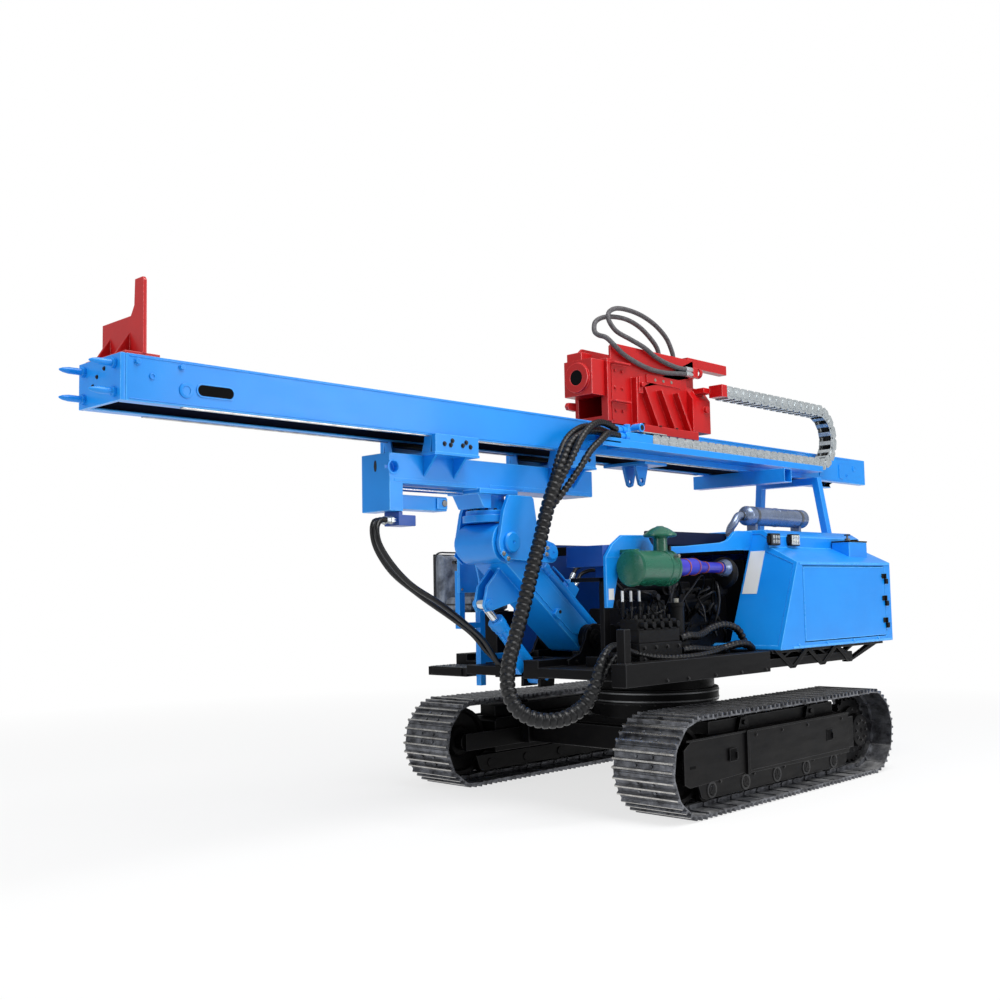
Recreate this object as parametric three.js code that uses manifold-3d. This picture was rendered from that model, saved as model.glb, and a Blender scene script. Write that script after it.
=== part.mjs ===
// Tracked pile driver rig in travel position: the mast lies level over the machine and rests above
// its trestle. Millimetres, +Z up, the front towards -Y, the machine's left side towards +X.
// The origin is on the ground, below the middle of the whole machine.
import * as THREE from 'three';
import { mergeVertices } from 'three/addons/utils/BufferGeometryUtils.js';
import Module from 'manifold-3d';

const wasm = await Module();
wasm.setup();

// ---------------------------------------------------------------- driving dimensions
const SEAT = 0.3;                       // gap between pieces that touch
const RUN = 6;                          // gap between pieces that move past each other

const TRACK_FRONT = -713;               // tracks
const TRACK_REAR = 2067;
const TRACK_HEIGHT = 609;
const TRACK_OUTER = 1155;
const SHOE_WIDTH = 440;
const BELT_THICK = 62;
const FRAME_WIDTH = 300;                // track side frames
const FRAME_INSET = 66;

const SLEW_Y = 680;                     // slewing ring
const SLEW_R = 470;
const SLEW_LOW = 560;
const RING_TOP = 655;
const DECK_LOW = 783;                   // upper frame
const DECK_HIGH = 920;
const PLATE_TOP = 873;
const DECK_HALF = 930;
const DECK_FRONT = -820;
const DECK_REAR = 1960;
const STATION_X = -455;                 // operator station, right of the boom
const STATION_REAR = -400;
const FLOOR_TOP = 843;                 // operator's floor, in front of the deck
const POST_X = -565;                    // console posts and the floor's inner edge
const SEAT_X = -1000;                   // seat, facing the mast
const SEAT_Y = -580;

const FOOT_Y = -233;                    // boom and its pins
const FOOT_Z = 1037;
const HEAD_Y = -995;
const HEAD_Z = 1656;
const BOOM_HALF = 140;
const BOOM_DEPTH = 180;
const DRUM_HALF = 164;
const DRUM_R = 128;
const PIN_R = 38;
const TILT_PIN_R = 25;
const LIFT_PIN_R = 22;
const PLATE_IN = 172;                   // tilt head side plates
const PLATE_OUT = 200;
const LOBE_Y = -624;                    // tilt cylinder rod pin
const LOBE_Z = 1597;
const LIFT_EYE_Y = -1047;               // lift cylinder pins
const LIFT_EYE_Z = 1279;
const LIFT_BASE_Y = -560;
const LIFT_BASE_Z = 800;

const SWING_Y = -985;                   // mast swing bearing
const SWING_R = 165;
const SWING_LOW = 1785;
const FRAME_HALF = 125;                 // slide frame under the mast
const FRAME_TOP = 2155;
const FRAME_LOW = 1982;
const FRAME_FRONT = -1905;
const FRAME_REAR = -105;
const BLOCK_LOW = 1822;
const VALVE_HOSE_X = [88, 28];          // hoses from the valve under the slide frame
const VALVE_HOSE_Z = BLOCK_LOW - 50;
const VALVE_HOSE_DIAMETER = 32;
const HEAD_HOSE_DIAMETER = 35;          // hose loops on the drive head

const MAST_HALF = 206;                  // mast
const MAST_LOW = 2263;
const MAST_TOP = 2486;
const MAST_FRONT = -3560;
const MAST_REAR = 3713;
const MAST_WALL = 12;
const MAST_LIP = 70;

const CHAIN_X = 300;                    // drag chain beside the mast
const CHAIN_WIDTH = 120;
const CHAIN_BAND = 96;
const CHAIN_R = 226;
const CHAIN_LOW = 2372;
const CHAIN_BEND_Y = 2640;
const CHAIN_FIXED_Y = 285;
const CHAIN_MOVING_Y = 1235;

const HEAD_FRONT = -80;                 // drive head on the mast
const HEAD_AXIS_Z = 2820;
const HEAD_SQUARE = 250;
const HEAD_BORE_R = 53;
const CARRIAGE_HALF = 212;
const BODY_SIDE = 150;                  // outer face of the head's side plates
const BODY_TOP = 3075;
const BODY_LID = 2960;
const CARRIAGE_LOW = MAST_TOP + SEAT;

const HOOD_SIDE = 955;                  // rear hood
const HOOD_SKIN = 30;
const HOOD_FRONT_LOW = 860;
const HOOD_FRONT_HIGH = 1125;
const HOOD_REAR = 2550;
const HOOD_WAIST = 1525;
const HOOD_BROW = 1720;
const HOOD_TOP = 1770;
const HINGE_X = HOOD_SIDE + 9;
const HINGE_Y = 2447;
const BAY_X = 545;                      // open engine bay
const BAY_FRONT = -500;
const BANK_FRONT = -430;

// ---------------------------------------------------------------- helpers
const group = new THREE.Group();
const COLOURS = {
  blue: [0x3296f0, 0.35, 0.1], dark_blue: [0x145ab4, 0.4, 0.1], red: [0xc8191e, 0.35, 0.1],
  green: [0x1e6e50, 0.35, 0.1], black: [0x1c1e21, 0.55, 0.2], steel: [0x4a4744, 0.5, 0.8],
  chrome: [0xd0d4d8, 0.15, 1], zinc: [0xaab4b4, 0.35, 0.9], rubber: [0x17171a, 0.75, 0],
  intake: [0x3c32be, 0.45, 0], grey: [0x5a697d, 0.45, 0.4], cover: [0x7c828a, 0.9, 0],
};

function solid(geometry) {
  const bare = geometry.clone();
  bare.deleteAttribute('normal');
  bare.deleteAttribute('uv');
  const merged = mergeVertices(bare, 1e-3);
  return new wasm.Manifold(new wasm.Mesh({
    numProp: 3,
    vertProperties: Float32Array.from(merged.attributes.position.array),
    triVerts: Uint32Array.from(merged.index.array),
  }));
}

function join(...pieces) {
  return pieces.reduce((sum, piece) => sum.add(piece));
}

function add(name, shape, colour) {
  const mesh = shape.getMesh();
  const geometry = new THREE.BufferGeometry();
  geometry.setAttribute('position', new THREE.BufferAttribute(mesh.vertProperties, 3));
  geometry.setIndex(new THREE.BufferAttribute(mesh.triVerts, 1));
  geometry.computeVertexNormals();
  const [hex, roughness, metalness] = COLOURS[colour];
  const node = new THREE.Mesh(geometry, new THREE.MeshStandardMaterial({ color: hex, roughness, metalness }));
  node.name = name;
  group.add(node);
}

function box(x0, x1, y0, y1, z0, z1) {
  const geometry = new THREE.BoxGeometry(x1 - x0, y1 - y0, z1 - z0);
  return solid(geometry.translate((x0 + x1) / 2, (y0 + y1) / 2, (z0 + z1) / 2));
}

// A round bar along X, Y or Z, from low to high on that axis; at gives its other two coordinates.
function bar(axis, radius, low, high, at, sides = 24) {
  const geometry = new THREE.CylinderGeometry(radius, radius, high - low, sides);
  const middle = (low + high) / 2;
  if (axis === 'x') geometry.rotateZ(-Math.PI / 2).translate(middle, at[0], at[1]);
  if (axis === 'y') geometry.translate(at[0], middle, at[1]);
  if (axis === 'z') geometry.rotateX(Math.PI / 2).translate(at[0], at[1], middle);
  return solid(geometry);
}

// The radius of a faceted hole in which a faceted pin of this radius turns freely.
function boreFor(radius, sides = 24) {
  return (radius + SEAT) / Math.cos(Math.PI / sides);
}

// A plate drawn in the side view, points as [y, z], from x0 to x1.
function side(points, x0, x1) {
  const shape = new THREE.Shape(points.map(([y, z]) => new THREE.Vector2(y, z)));
  const geometry = new THREE.ExtrudeGeometry(shape, { depth: x1 - x0, bevelEnabled: false });
  const turn = new THREE.Matrix4().set(0, 0, 1, x0, 1, 0, 0, 0, 0, 1, 0, 0, 0, 0, 0, 1);
  return solid(geometry.applyMatrix4(turn));
}

// A plate drawn in the front view, points as [x, z], from y0 to y1.
function front(points, y0, y1) {
  const shape = new THREE.Shape(points.map(([x, z]) => new THREE.Vector2(x, -z)));
  const geometry = new THREE.ExtrudeGeometry(shape, { depth: y1 - y0, bevelEnabled: false });
  return solid(geometry.rotateX(-Math.PI / 2).translate(0, y0, 0));
}

// The side-view outline of a slotted round: two arcs joined by straight runs.
function loop(y0, z0, r0, y1, z1, r1, steps = 12) {
  const points = [];
  const slope = Math.atan2(z1 - z0, y1 - y0);
  for (let i = 0; i <= steps; i += 1) {
    const turn = slope + Math.PI / 2 + (Math.PI * i) / steps;
    points.push([y0 + r0 * Math.cos(turn), z0 + r0 * Math.sin(turn)]);
  }
  for (let i = 0; i <= steps; i += 1) {
    const turn = slope - Math.PI / 2 + (Math.PI * i) / steps;
    points.push([y1 + r1 * Math.cos(turn), z1 + r1 * Math.sin(turn)]);
  }
  return points;
}

// A round bar in the side view, between two points [y, z], centred on x.
function strut(radius, from, to, x = 0, sides = 20) {
  const length = Math.hypot(to[0] - from[0], to[1] - from[1]);
  const geometry = new THREE.CylinderGeometry(radius, radius, length, sides);
  geometry.rotateX(Math.atan2(to[1] - from[1], to[0] - from[0]));
  return solid(geometry.translate(x, (from[0] + to[0]) / 2, (from[1] + to[1]) / 2));
}

// A point a given way along the line between two points.
function along(from, to, distance) {
  const length = Math.hypot(to[0] - from[0], to[1] - from[1]);
  return [0, 1].map((i) => from[i] + ((to[i] - from[i]) * distance) / length);
}

// A tube through points [x, y, z].
function tube(points, diameter, steps) {
  const path = new THREE.CatmullRomCurve3(points.map((p) => new THREE.Vector3(...p)), false, 'centripetal');
  const ring = Array.from({ length: 8 }, (_, i) => new THREE.Vector2(
    (diameter / 2) * Math.cos((i * Math.PI) / 4), (diameter / 2) * Math.sin((i * Math.PI) / 4)));
  const shape = new THREE.Shape(ring);
  return solid(new THREE.ExtrudeGeometry(shape, { extrudePath: path, steps, bevelEnabled: false }));
}

// ---------------------------------------------------------------- undercarriage
const AXLE_Z = TRACK_HEIGHT / 2;
const WHEEL_R = (AXLE_Z - BELT_THICK) * Math.cos(Math.PI / 40) - SEAT;
const IDLER_Y = TRACK_FRONT + AXLE_Z;
const SPROCKET_Y = TRACK_REAR - AXLE_Z;

function undercarriage() {
  for (const [hand, sign] of [['left', 1], ['right', -1]]) {
    const [x0, x1] = [TRACK_OUTER - SHOE_WIDTH, TRACK_OUTER].map((x) => sign * x).sort((a, b) => a - b);
    const middle = (x0 + x1) / 2;
    const outside = side(loop(IDLER_Y, AXLE_Z, AXLE_Z, SPROCKET_Y, AXLE_Z, AXLE_Z, 20), x0, x1);
    const inner = AXLE_Z - BELT_THICK;
    const inside = side(loop(IDLER_Y, AXLE_Z, inner, SPROCKET_Y, AXLE_Z, inner, 20), x0 - 1, x1 + 1);
    add(`track_${hand}`, outside.subtract(inside), 'steel');

    const half = FRAME_WIDTH / 2;
    const low = BELT_THICK + 78;
    const beam = box(middle - half, middle + half, IDLER_Y + WHEEL_R + RUN, SPROCKET_Y - WHEEL_R - RUN,
      low, TRACK_HEIGHT - FRAME_INSET - 90);
    const forks = [half - 30, -half].map((dx) => box(middle + dx, middle + dx + 30,
      IDLER_Y - 40, SPROCKET_Y + 60, AXLE_Z - 60, AXLE_Z + 60));
    const rollers = [];
    for (let i = 0; i < 6; i += 1) {
      const y = IDLER_Y + 390 + i * 268;
      rollers.push(bar('x', 78, middle - 90, middle + 90, [y, BELT_THICK + 78 + SEAT], 20));
    }
    const guard = [half - 20, -half].map((dx) => box(middle + dx, middle + dx + 20,
      IDLER_Y + 330, SPROCKET_Y - 330, BELT_THICK + 45, low + 20));
    const carriers = [-420, 420].map((dy) => bar('x', 45, middle - 60, middle + 60,
      [SLEW_Y + dy, TRACK_HEIGHT - BELT_THICK - 45 - SEAT], 16));
    const stands = [-420, 420].map((dy) => box(middle - 25, middle + 25, SLEW_Y + dy - 30, SLEW_Y + dy + 30,
      440, TRACK_HEIGHT - BELT_THICK - 60));
    const inward = -sign;
    const stub = box(...[middle, middle + inward * (half + 60)].sort((a, b) => a - b),
      SLEW_Y - 560, SLEW_Y + 560, 250, 420);
    add(`track_frame_${hand}`, join(beam, ...forks, ...rollers, ...guard, ...carriers, ...stands, stub), 'black');

    add(`idler_${hand}`, bar('x', WHEEL_R, middle - 55, middle + 55, [IDLER_Y, AXLE_Z], 32)
      .subtract(bar('x', 60, middle - 60, middle + 60, [IDLER_Y, AXLE_Z]))
      .add(bar('x', 62, middle - half + 30 + SEAT, middle + half - 30 - SEAT, [IDLER_Y, AXLE_Z], 16)), 'black');
    add(`sprocket_${hand}`, bar('x', WHEEL_R, middle - 40, middle + 40, [SPROCKET_Y, AXLE_Z], 32)
      .add(bar('x', 118, middle - half + 30 + SEAT, middle + half - 30 - SEAT, [SPROCKET_Y, AXLE_Z], 24)), 'black');
  }
  const reach = TRACK_OUTER - SHOE_WIDTH / 2 - FRAME_WIDTH / 2 - 60 - SEAT;
  const cross = [-1, 1].map((way) => box(-reach, reach, SLEW_Y + way * 380 - 130, SLEW_Y + way * 380 + 130, 255, 415));
  const tub = box(-430, 430, SLEW_Y - 430, SLEW_Y + 430, 270, 470);
  const ringSeat = bar('z', SLEW_R - 20, 460, SLEW_LOW, [0, SLEW_Y], 40);
  add('car_body', join(tub, ...cross, ringSeat), 'black');
  add('slewing_ring', bar('z', SLEW_R, SLEW_LOW + SEAT, RING_TOP, [0, SLEW_Y], 40), 'black');
}

// ---------------------------------------------------------------- upper structure
function upperStructure() {
  const rails = [[DECK_HALF - 110, DECK_HALF, DECK_FRONT], [-DECK_HALF, 110 - DECK_HALF, STATION_REAR]]
    .map(([x0, x1, y0]) => box(x0, x1, y0, 760, DECK_LOW, DECK_HIGH));
  const plate = join(box(STATION_X, DECK_HALF - 100, DECK_FRONT + 60, DECK_REAR, DECK_LOW + 30, PLATE_TOP),
    box(-DECK_HALF + 100, STATION_X + 1, STATION_REAR, DECK_REAR, DECK_LOW + 30, PLATE_TOP));
  const tail = box(-DECK_HALF + 20, DECK_HALF - 20, 700, DECK_REAR, DECK_LOW + 20, DECK_LOW + 80);
  const hub = bar('z', SLEW_R - 30, RING_TOP + SEAT, DECK_LOW + 50, [0, SLEW_Y], 40);
  const post = box(DECK_HALF - 90, DECK_HALF - 30, DECK_FRONT + 30, DECK_FRONT + 90, DECK_HIGH - 10, 1120);
  const liftEars = [-1, 1].map((way) => side(
    [[LIFT_BASE_Y - 70, LIFT_BASE_Z - 60], [LIFT_BASE_Y + 70, LIFT_BASE_Z - 60],
      [LIFT_BASE_Y + 90, DECK_HIGH], [LIFT_BASE_Y - 60, DECK_HIGH]],
    ...[way * 62, way * 84].sort((a, b) => a - b)));
  const liftBore = bar('x', boreFor(LIFT_PIN_R), -84, 84, [LIFT_BASE_Y, LIFT_BASE_Z]);
  const notch = box(-62, 62, DECK_FRONT - 10, LIFT_BASE_Y + 130, DECK_LOW, DECK_HIGH);
  const nose = box(-190, 190, DECK_FRONT + 60, DECK_FRONT + 420, DECK_LOW + 20, DECK_HIGH);
  add('upper_frame', join(...rails, plate, tail, hub, post, nose).subtract(notch).add(join(...liftEars))
    .subtract(liftBore), 'black');

  const braces = [];
  for (let i = 0; i < 4; i += 1) {
    const y0 = 830 + i * 300;
    for (const lean of [0, 1]) {
      const [a, b] = lean ? [y0 + 150, y0 + 300] : [y0 + 150, y0];
      braces.push(side([[a - 20, DECK_LOW + 80 + SEAT], [a + 20, DECK_LOW + 80 + SEAT],
        [b + 20, DECK_HIGH - SEAT], [b - 20, DECK_HIGH - SEAT]], DECK_HALF - 80, DECK_HALF - 30));
    }
  }
  const deck = box(-DECK_HALF, DECK_HALF - 25, 830, 2480, DECK_HIGH - 22, DECK_HIGH - SEAT);
  const farBeam = box(-DECK_HALF + 30, -DECK_HALF + 80, 830, DECK_REAR, DECK_LOW + 80 + SEAT, DECK_HIGH - 10);
  add('hood_deck', join(deck, ...braces, farBeam), 'black');

  const cheek = (x0, x1) => side([...loop(FOOT_Y, FOOT_Z, 92, FOOT_Y + 180, DECK_HIGH + 60, 150, 10)], x0, x1);
  const cheeks = [[-195, -150], [150, 195]].map(([x0, x1]) => join(cheek(x0, x1),
    box(x0, x1, FOOT_Y - 150, FOOT_Y + 420, PLATE_TOP + SEAT, DECK_HIGH + 40)));
  const tie = box(-195, 195, FOOT_Y - 150, FOOT_Y + 480, PLATE_TOP + SEAT, PLATE_TOP + 30);
  const tiltFoot = tiltBase();
  const tiltEars = [[-100, -70], [70, 100]].map(([x0, x1]) => side(
    [...loop(tiltFoot[0], tiltFoot[1], 60, tiltFoot[0] + 60, DECK_HIGH - 30, 110, 8)], x0, x1));
  const under = box(-300, 300, -700, 700, 400, PLATE_TOP + SEAT);
  const pin = bar('x', PIN_R, -196, 196, [FOOT_Y, FOOT_Z]);
  const bore = bar('x', boreFor(TILT_PIN_R), -120, 120, tiltFoot);
  add('boom_bracket', join(...cheeks, tie, ...tiltEars, pin).subtract(under).subtract(bore), 'black');
  add('tilt_foot_pin', bar('x', TILT_PIN_R, -112, 112, tiltFoot), 'steel');
}

function tiltBase() {
  return [LOBE_Y + FOOT_Y - HEAD_Y, LOBE_Z + FOOT_Z - HEAD_Z];
}

// ---------------------------------------------------------------- engine bay and hood
function engineBay() {
  add('engine_block', join(box(-330, 430, 330, 800, PLATE_TOP + SEAT, 1480),
    box(-200, 300, 330, 800, 1480 - 1, 1560)), 'black');
  const strip = [[BAY_FRONT, 1240], [BAY_FRONT + 60, 1240], [BAY_FRONT + 150, 1560], [1020, 1622],
    [1100, 1622], [1100, 1640], [880, 1660], [720, 1672], [-60, 1680], [-80, 1705], [-330, 1700], [-430, 1640], [-500, 1560]];
  add('hood_strip', side(strip, BAY_X - 25, BAY_X), 'blue');
  const cabinet = box(215, BAY_X - 25 - SEAT, BAY_FRONT, BAY_FRONT + 220, 1432, 1635);
  add('front_cabinet', cabinet, 'dark_blue');
  const farWall = side([[BAY_FRONT + 300, PLATE_TOP + SEAT], [790, PLATE_TOP + SEAT], [1020, 1622], [1020, 1690],
    [BAY_FRONT + 300, 1690]], -BAY_X, -BAY_X + 25);
  add('bay_far_panel', farWall, 'blue');
  add('bay_front_frame', join(
    box(BAY_X - 60, BAY_X - 26, BAY_FRONT, BAY_FRONT + 60, PLATE_TOP + SEAT, 1432 - SEAT),
    box(215, BAY_X - 26, BAY_FRONT, BAY_FRONT + 40, PLATE_TOP + SEAT, 960),
    box(215, 249, BAY_FRONT, BAY_FRONT + 60, PLATE_TOP + SEAT, 1432 - SEAT)), 'black');
}

function valveBank() {
  const base = box(565, 735, BANK_FRONT, 20, PLATE_TOP + SEAT, 1120);
  const spools = [0, 1, 2, 3, 4].map((i) => box(590, 710, BANK_FRONT + 20 + i * 86, BANK_FRONT + 84 + i * 86, 1110, 1190));
  add('valve_bank', join(base, ...spools), 'black');
}

function hoodOutline(inset) {
  const waist = HOOD_SIDE - inset;
  return [[-waist, DECK_HIGH + inset], [waist, DECK_HIGH + inset], [waist, HOOD_WAIST - inset * 0.4],
    [730 - inset, 1632 - inset], [705 - inset, 1640 - inset * 0.8], [705 - inset, HOOD_BROW - inset * 0.5],
    [625 - inset * 0.6, HOOD_TOP - inset], [-625 + inset * 0.6, HOOD_TOP - inset], [-705 + inset, HOOD_BROW - inset * 0.5],
    [-705 + inset, 1640 - inset * 0.8], [-730 + inset, 1632 - inset], [-waist, HOOD_WAIST - inset * 0.4]];
}

function hood() {
  const shell = front(hoodOutline(0), HOOD_FRONT_LOW, HOOD_REAR);
  const hollow = front(hoodOutline(HOOD_SKIN), HOOD_FRONT_LOW - 300, HOOD_REAR - HOOD_SKIN);
  const slant = HOOD_FRONT_HIGH - HOOD_FRONT_LOW;
  const rise = HOOD_WAIST - DECK_HIGH;
  const run = slant * ((1810 - DECK_HIGH) / rise);
  const wedge = side([[HOOD_FRONT_LOW - 5, DECK_HIGH - 1], [HOOD_FRONT_LOW + run, 1811], [HOOD_FRONT_LOW - 20, 1811],
    [HOOD_FRONT_LOW - 20, DECK_HIGH - 1]].reverse(), -1000, 1000);
  const doorGap = box(HOOD_SIDE - HOOD_SKIN - 1, HOOD_SIDE + 1, 1190, HINGE_Y + 3, 960, 1500);
  const skin = shell.subtract(hollow).subtract(wedge);
  const frontWall = side([[HOOD_FRONT_LOW, DECK_HIGH + 1], [HOOD_FRONT_LOW + 25, DECK_HIGH + 1],
    [HOOD_FRONT_LOW + run + 25, 1809], [HOOD_FRONT_LOW + run, 1809]], -HOOD_SIDE, HOOD_SIDE)
    .intersect(front(hoodOutline(1), HOOD_FRONT_LOW - 10, HOOD_REAR));
  const bay = box(-BAY_X + 40, BAY_X - 5, HOOD_FRONT_LOW - 60, 1220, DECK_HIGH + 40, 1620);
  const hinges = [1060, 1230, 1400];
  const fixedLeaves = hinges.map((z) => bar('z', 8, z - 40, z, [HINGE_X, HINGE_Y], 16)
    .add(box(HOOD_SIDE - 1, HOOD_SIDE + 3, HINGE_Y, HINGE_Y + 50, z - 40, z)));
  const doorLeaves = hinges.map((z) => bar('z', 8, z + SEAT, z + 40, [HINGE_X, HINGE_Y], 16)
    .add(box(HOOD_SIDE - 1, HOOD_SIDE + 3, HINGE_Y - 50, HINGE_Y, z + SEAT, z + 40)));
  add('rear_hood', join(skin, frontWall).subtract(bay).subtract(doorGap).add(join(...fixedLeaves)), 'blue');
  const door = box(HOOD_SIDE - HOOD_SKIN, HOOD_SIDE, 1190 + RUN, HINGE_Y - 3, 960 + RUN, 1500 - RUN);
  add('hood_door', join(door, ...doorLeaves), 'blue');
  add('radiator', box(-420, 420, 1280, 1420, DECK_HIGH + HOOD_SKIN + SEAT, 1560), 'black');
}

function bayFittings() {
  const mufflerZ = 1888;
  const x = 420;
  const can = bar('y', 74, 1300, 2180, [x, mufflerZ], 24);
  const elbow = tube([[x, 1310, mufflerZ], [x, 1230, mufflerZ - 6], [x, 1170, mufflerZ - 60], [x - 20, 1150, 1790],
    [x - 40, 1140, 1700]], 62, 14);
  const feet = [1420, 2060].map((y) => box(x - 40, x + 40, y - 15, y + 15, HOOD_TOP + SEAT, mufflerZ - 60));
  add('muffler', join(can, elbow, ...feet).subtract(front(hoodOutline(-SEAT), 1000, 1400)), 'grey');

  const cleanX = 672;
  const cleanZ = 1487;
  const body = bar('y', 116, -560, -30, [cleanX, cleanZ], 32);
  const neck = bar('z', 44, cleanZ + 90, 1705, [cleanX, -200], 20);
  const cap = solid(new THREE.LatheGeometry([[0, 1690], [120, 1690], [124, 1705], [90, 1742], [40, 1756], [0, 1757]]
    .map(([r, z]) => new THREE.Vector2(r, z)), 28).rotateX(Math.PI / 2).translate(cleanX, -200, 0));
  const outlet = bar('y', 52, -31, 30, [cleanX, cleanZ], 20);
  const strap = box(BAY_X + SEAT, cleanX, -420, -380, 1580, 1610);
  add('air_cleaner', join(body, neck, cap, outlet, strap), 'green');
  const hose = tube([[cleanX, 30 + SEAT, cleanZ], [cleanX, 120, cleanZ + 6], [cleanX - 10, 260, cleanZ + 12],
    [cleanX - 70, 400, cleanZ], [cleanX - 150, 470, cleanZ - 20], [430 + SEAT, 500, cleanZ - 40]], 104, 18);
  add('intake_hose', hose.subtract(box(0, 430 + SEAT, 300, 840, 900, 1600))
    .subtract(box(500, 900, -100, 30 + SEAT, 1300, 1600)), 'intake');
}

function operatorStation() {
  const panelX = -505;
  add('console_panel', box(panelX - 14, panelX, -760, -400, 1352, 1682), 'blue');
  const inner = panelX - 14 - SEAT;
  const post = (y, z) => box(POST_X, inner, y, y + 50, z, 1500);
  const foot = box(POST_X, inner, -750, -510, 1110, 1150);
  const base = box(POST_X, inner, -560, STATION_REAR + 120, PLATE_TOP + SEAT, 930);
  add('console_posts', join(post(-750, 1110), post(-560, 720), foot, base), 'blue');
  add('foot_platform', box(-950, POST_X - RUN, -650, STATION_REAR - SEAT, FLOOR_TOP - 60, FLOOR_TOP), 'black');
  const cushionLow = 1215;
  const cushionTop = 1325;
  const backX = SEAT_X + 100;
  add('seat_pedestal', box(-815, -615, -300, -120, PLATE_TOP + SEAT, cushionLow - SEAT), 'black');
  add('seat_cushion', box(backX + SEAT, backX + 300, SEAT_Y + 15, SEAT_Y + 435, cushionLow, cushionTop), 'cover');
  add('seat_back', box(SEAT_X, backX, SEAT_Y, SEAT_Y + 450, cushionLow + 20, 1650), 'cover');
}

function trestle() {
  const topZ = MAST_LOW - RUN;
  const y = 2600;
  const depth = 34;
  const half = 30;
  const legs = [[400, 320], [-245, -205]];
  const crossbar = box(legs[1][1] - half, legs[0][1] + half, y - depth, y + depth, topZ - 60, topZ);
  const posts = legs.map(([foot, top]) => front([[foot - half, HOOD_TOP + 1], [foot + half, HOOD_TOP + 1],
    [top + half, topZ - 5], [top - half, topZ - 5]], y - depth, y + depth));
  const shoes = legs.map(([foot]) => box(foot - 60, foot + 60, HOOD_REAR - 60, y + depth,
    HOOD_TOP + SEAT, HOOD_TOP + 12));
  add('mast_trestle', join(crossbar, ...posts, ...shoes), 'blue');
}

// ---------------------------------------------------------------- boom, cylinders and tilt head
function boomGroup() {
  const foot = [FOOT_Y, FOOT_Z];
  const head = [HEAD_Y, HEAD_Z];
  const half = BOOM_DEPTH / 2;
  const beam = side(loop(HEAD_Y, HEAD_Z, half, FOOT_Y, FOOT_Z, half, 8), -BOOM_HALF, BOOM_HALF);
  const drum = bar('x', DRUM_R, -DRUM_HALF, DRUM_HALF, head, 40);
  const eyes = [[30, 50], [-50, -30]].map(([x0, x1]) => side(
    [[LIFT_EYE_Y - 44, LIFT_EYE_Z - 10], [LIFT_EYE_Y - 20, LIFT_EYE_Z - 50], [LIFT_EYE_Y + 35, LIFT_EYE_Z - 40],
      [LIFT_EYE_Y + 330, LIFT_EYE_Z + 30], [LIFT_EYE_Y + 140, LIFT_EYE_Z + 260], [LIFT_EYE_Y - 10, LIFT_EYE_Z + 110]],
    x0, x1));
  const cut = bar('x', boreFor(PIN_R), -200, 200, head).add(bar('x', boreFor(PIN_R), -200, 200, foot));
  const shape = join(beam, drum, ...eyes);
  add('boom', shape.subtract(cut), 'blue');
  add('head_pin', bar('x', PIN_R, -PLATE_OUT - 14, PLATE_OUT + 14, head), 'steel');
}

function liftCylinder() {
  const base = [LIFT_BASE_Y, LIFT_BASE_Z];
  const eye = [LIFT_EYE_Y, LIFT_EYE_Z];
  const length = Math.hypot(eye[0] - base[0], eye[1] - base[1]);
  const barrel = strut(46, along(base, eye, 50), along(base, eye, length - 150), 0, 24);
  const lug = bar('x', 44, -56, 56, base, 24).add(bar('x', LIFT_PIN_R, -83, 83, base))
    .add(strut(30, base, along(base, eye, 60), 0, 16));
  const hollow = strut(24, along(base, eye, 90), along(base, eye, length), 0, 20);
  add('lift_barrel', join(barrel, lug).subtract(hollow), 'blue');
  const rod = strut(24 - SEAT, along(base, eye, length - 420), along(base, eye, length - 10), 0, 20);
  add('lift_rod', join(rod, bar('x', 34, SEAT - 30, 30 - SEAT, eye, 24)), 'chrome');
}

function tiltCylinder() {
  const base = tiltBase();
  const eye = [LOBE_Y, LOBE_Z];
  const length = Math.hypot(eye[0] - base[0], eye[1] - base[1]);
  const barrel = strut(52, along(base, eye, 60), along(base, eye, length - 130), 0, 24);
  const lug = bar('x', 48, -66, 66, base, 24).add(strut(36, base, along(base, eye, 80), 0, 16));
  const hollow = strut(28, along(base, eye, 100), along(base, eye, length), 0, 20);
  const bore = bar('x', boreFor(TILT_PIN_R), -80, 80, base);
  add('tilt_barrel', join(barrel, lug).subtract(hollow).subtract(bore), 'blue');
  const rod = strut(28 - SEAT, along(base, eye, 130), along(base, eye, length - 10), 0, 20);
  add('tilt_rod', join(rod, bar('x', 45, -60, 60, eye, 24), bar('x', 27, -165, 165, eye, 20)), 'chrome');
}

function tiltHead() {
  const plate = (x0, x1) => join(
    side(loop(HEAD_Y, HEAD_Z, 105, LOBE_Y, LOBE_Z, 66, 12), x0, x1),
    side([[HEAD_Y - 104, HEAD_Z], [HEAD_Y + 260, HEAD_Z + 20], [HEAD_Y + 215, 1935], [HEAD_Y + 195, 1950],
      [HEAD_Y - 10, 1950], [HEAD_Y - 60, 1850]], x0, x1));
  const plates = [plate(PLATE_IN, PLATE_OUT), plate(-PLATE_OUT, -PLATE_IN)];
  const web = box(-PLATE_IN - 1, PLATE_IN + 1, HEAD_Y + 186, HEAD_Y + 214, 1800, 1945);
  const collar = bar('z', SWING_R, SWING_LOW, SWING_LOW + 45, [0, SWING_Y], 40)
    .add(box(-PLATE_IN - 1, PLATE_IN + 1, SWING_Y, SWING_Y + 215, SWING_LOW, SWING_LOW + 30));
  const lobePins = [[PLATE_IN, PLATE_OUT + 8], [-PLATE_OUT - 8, -PLATE_IN]]
    .map(([x0, x1]) => bar('x', 28, x0, x1, [LOBE_Y, LOBE_Z]));
  const bore = bar('x', boreFor(PIN_R), -300, 300, [HEAD_Y, HEAD_Z]);
  add('tilt_head', join(...plates, web, collar, ...lobePins).subtract(bore), 'blue');
}

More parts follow.
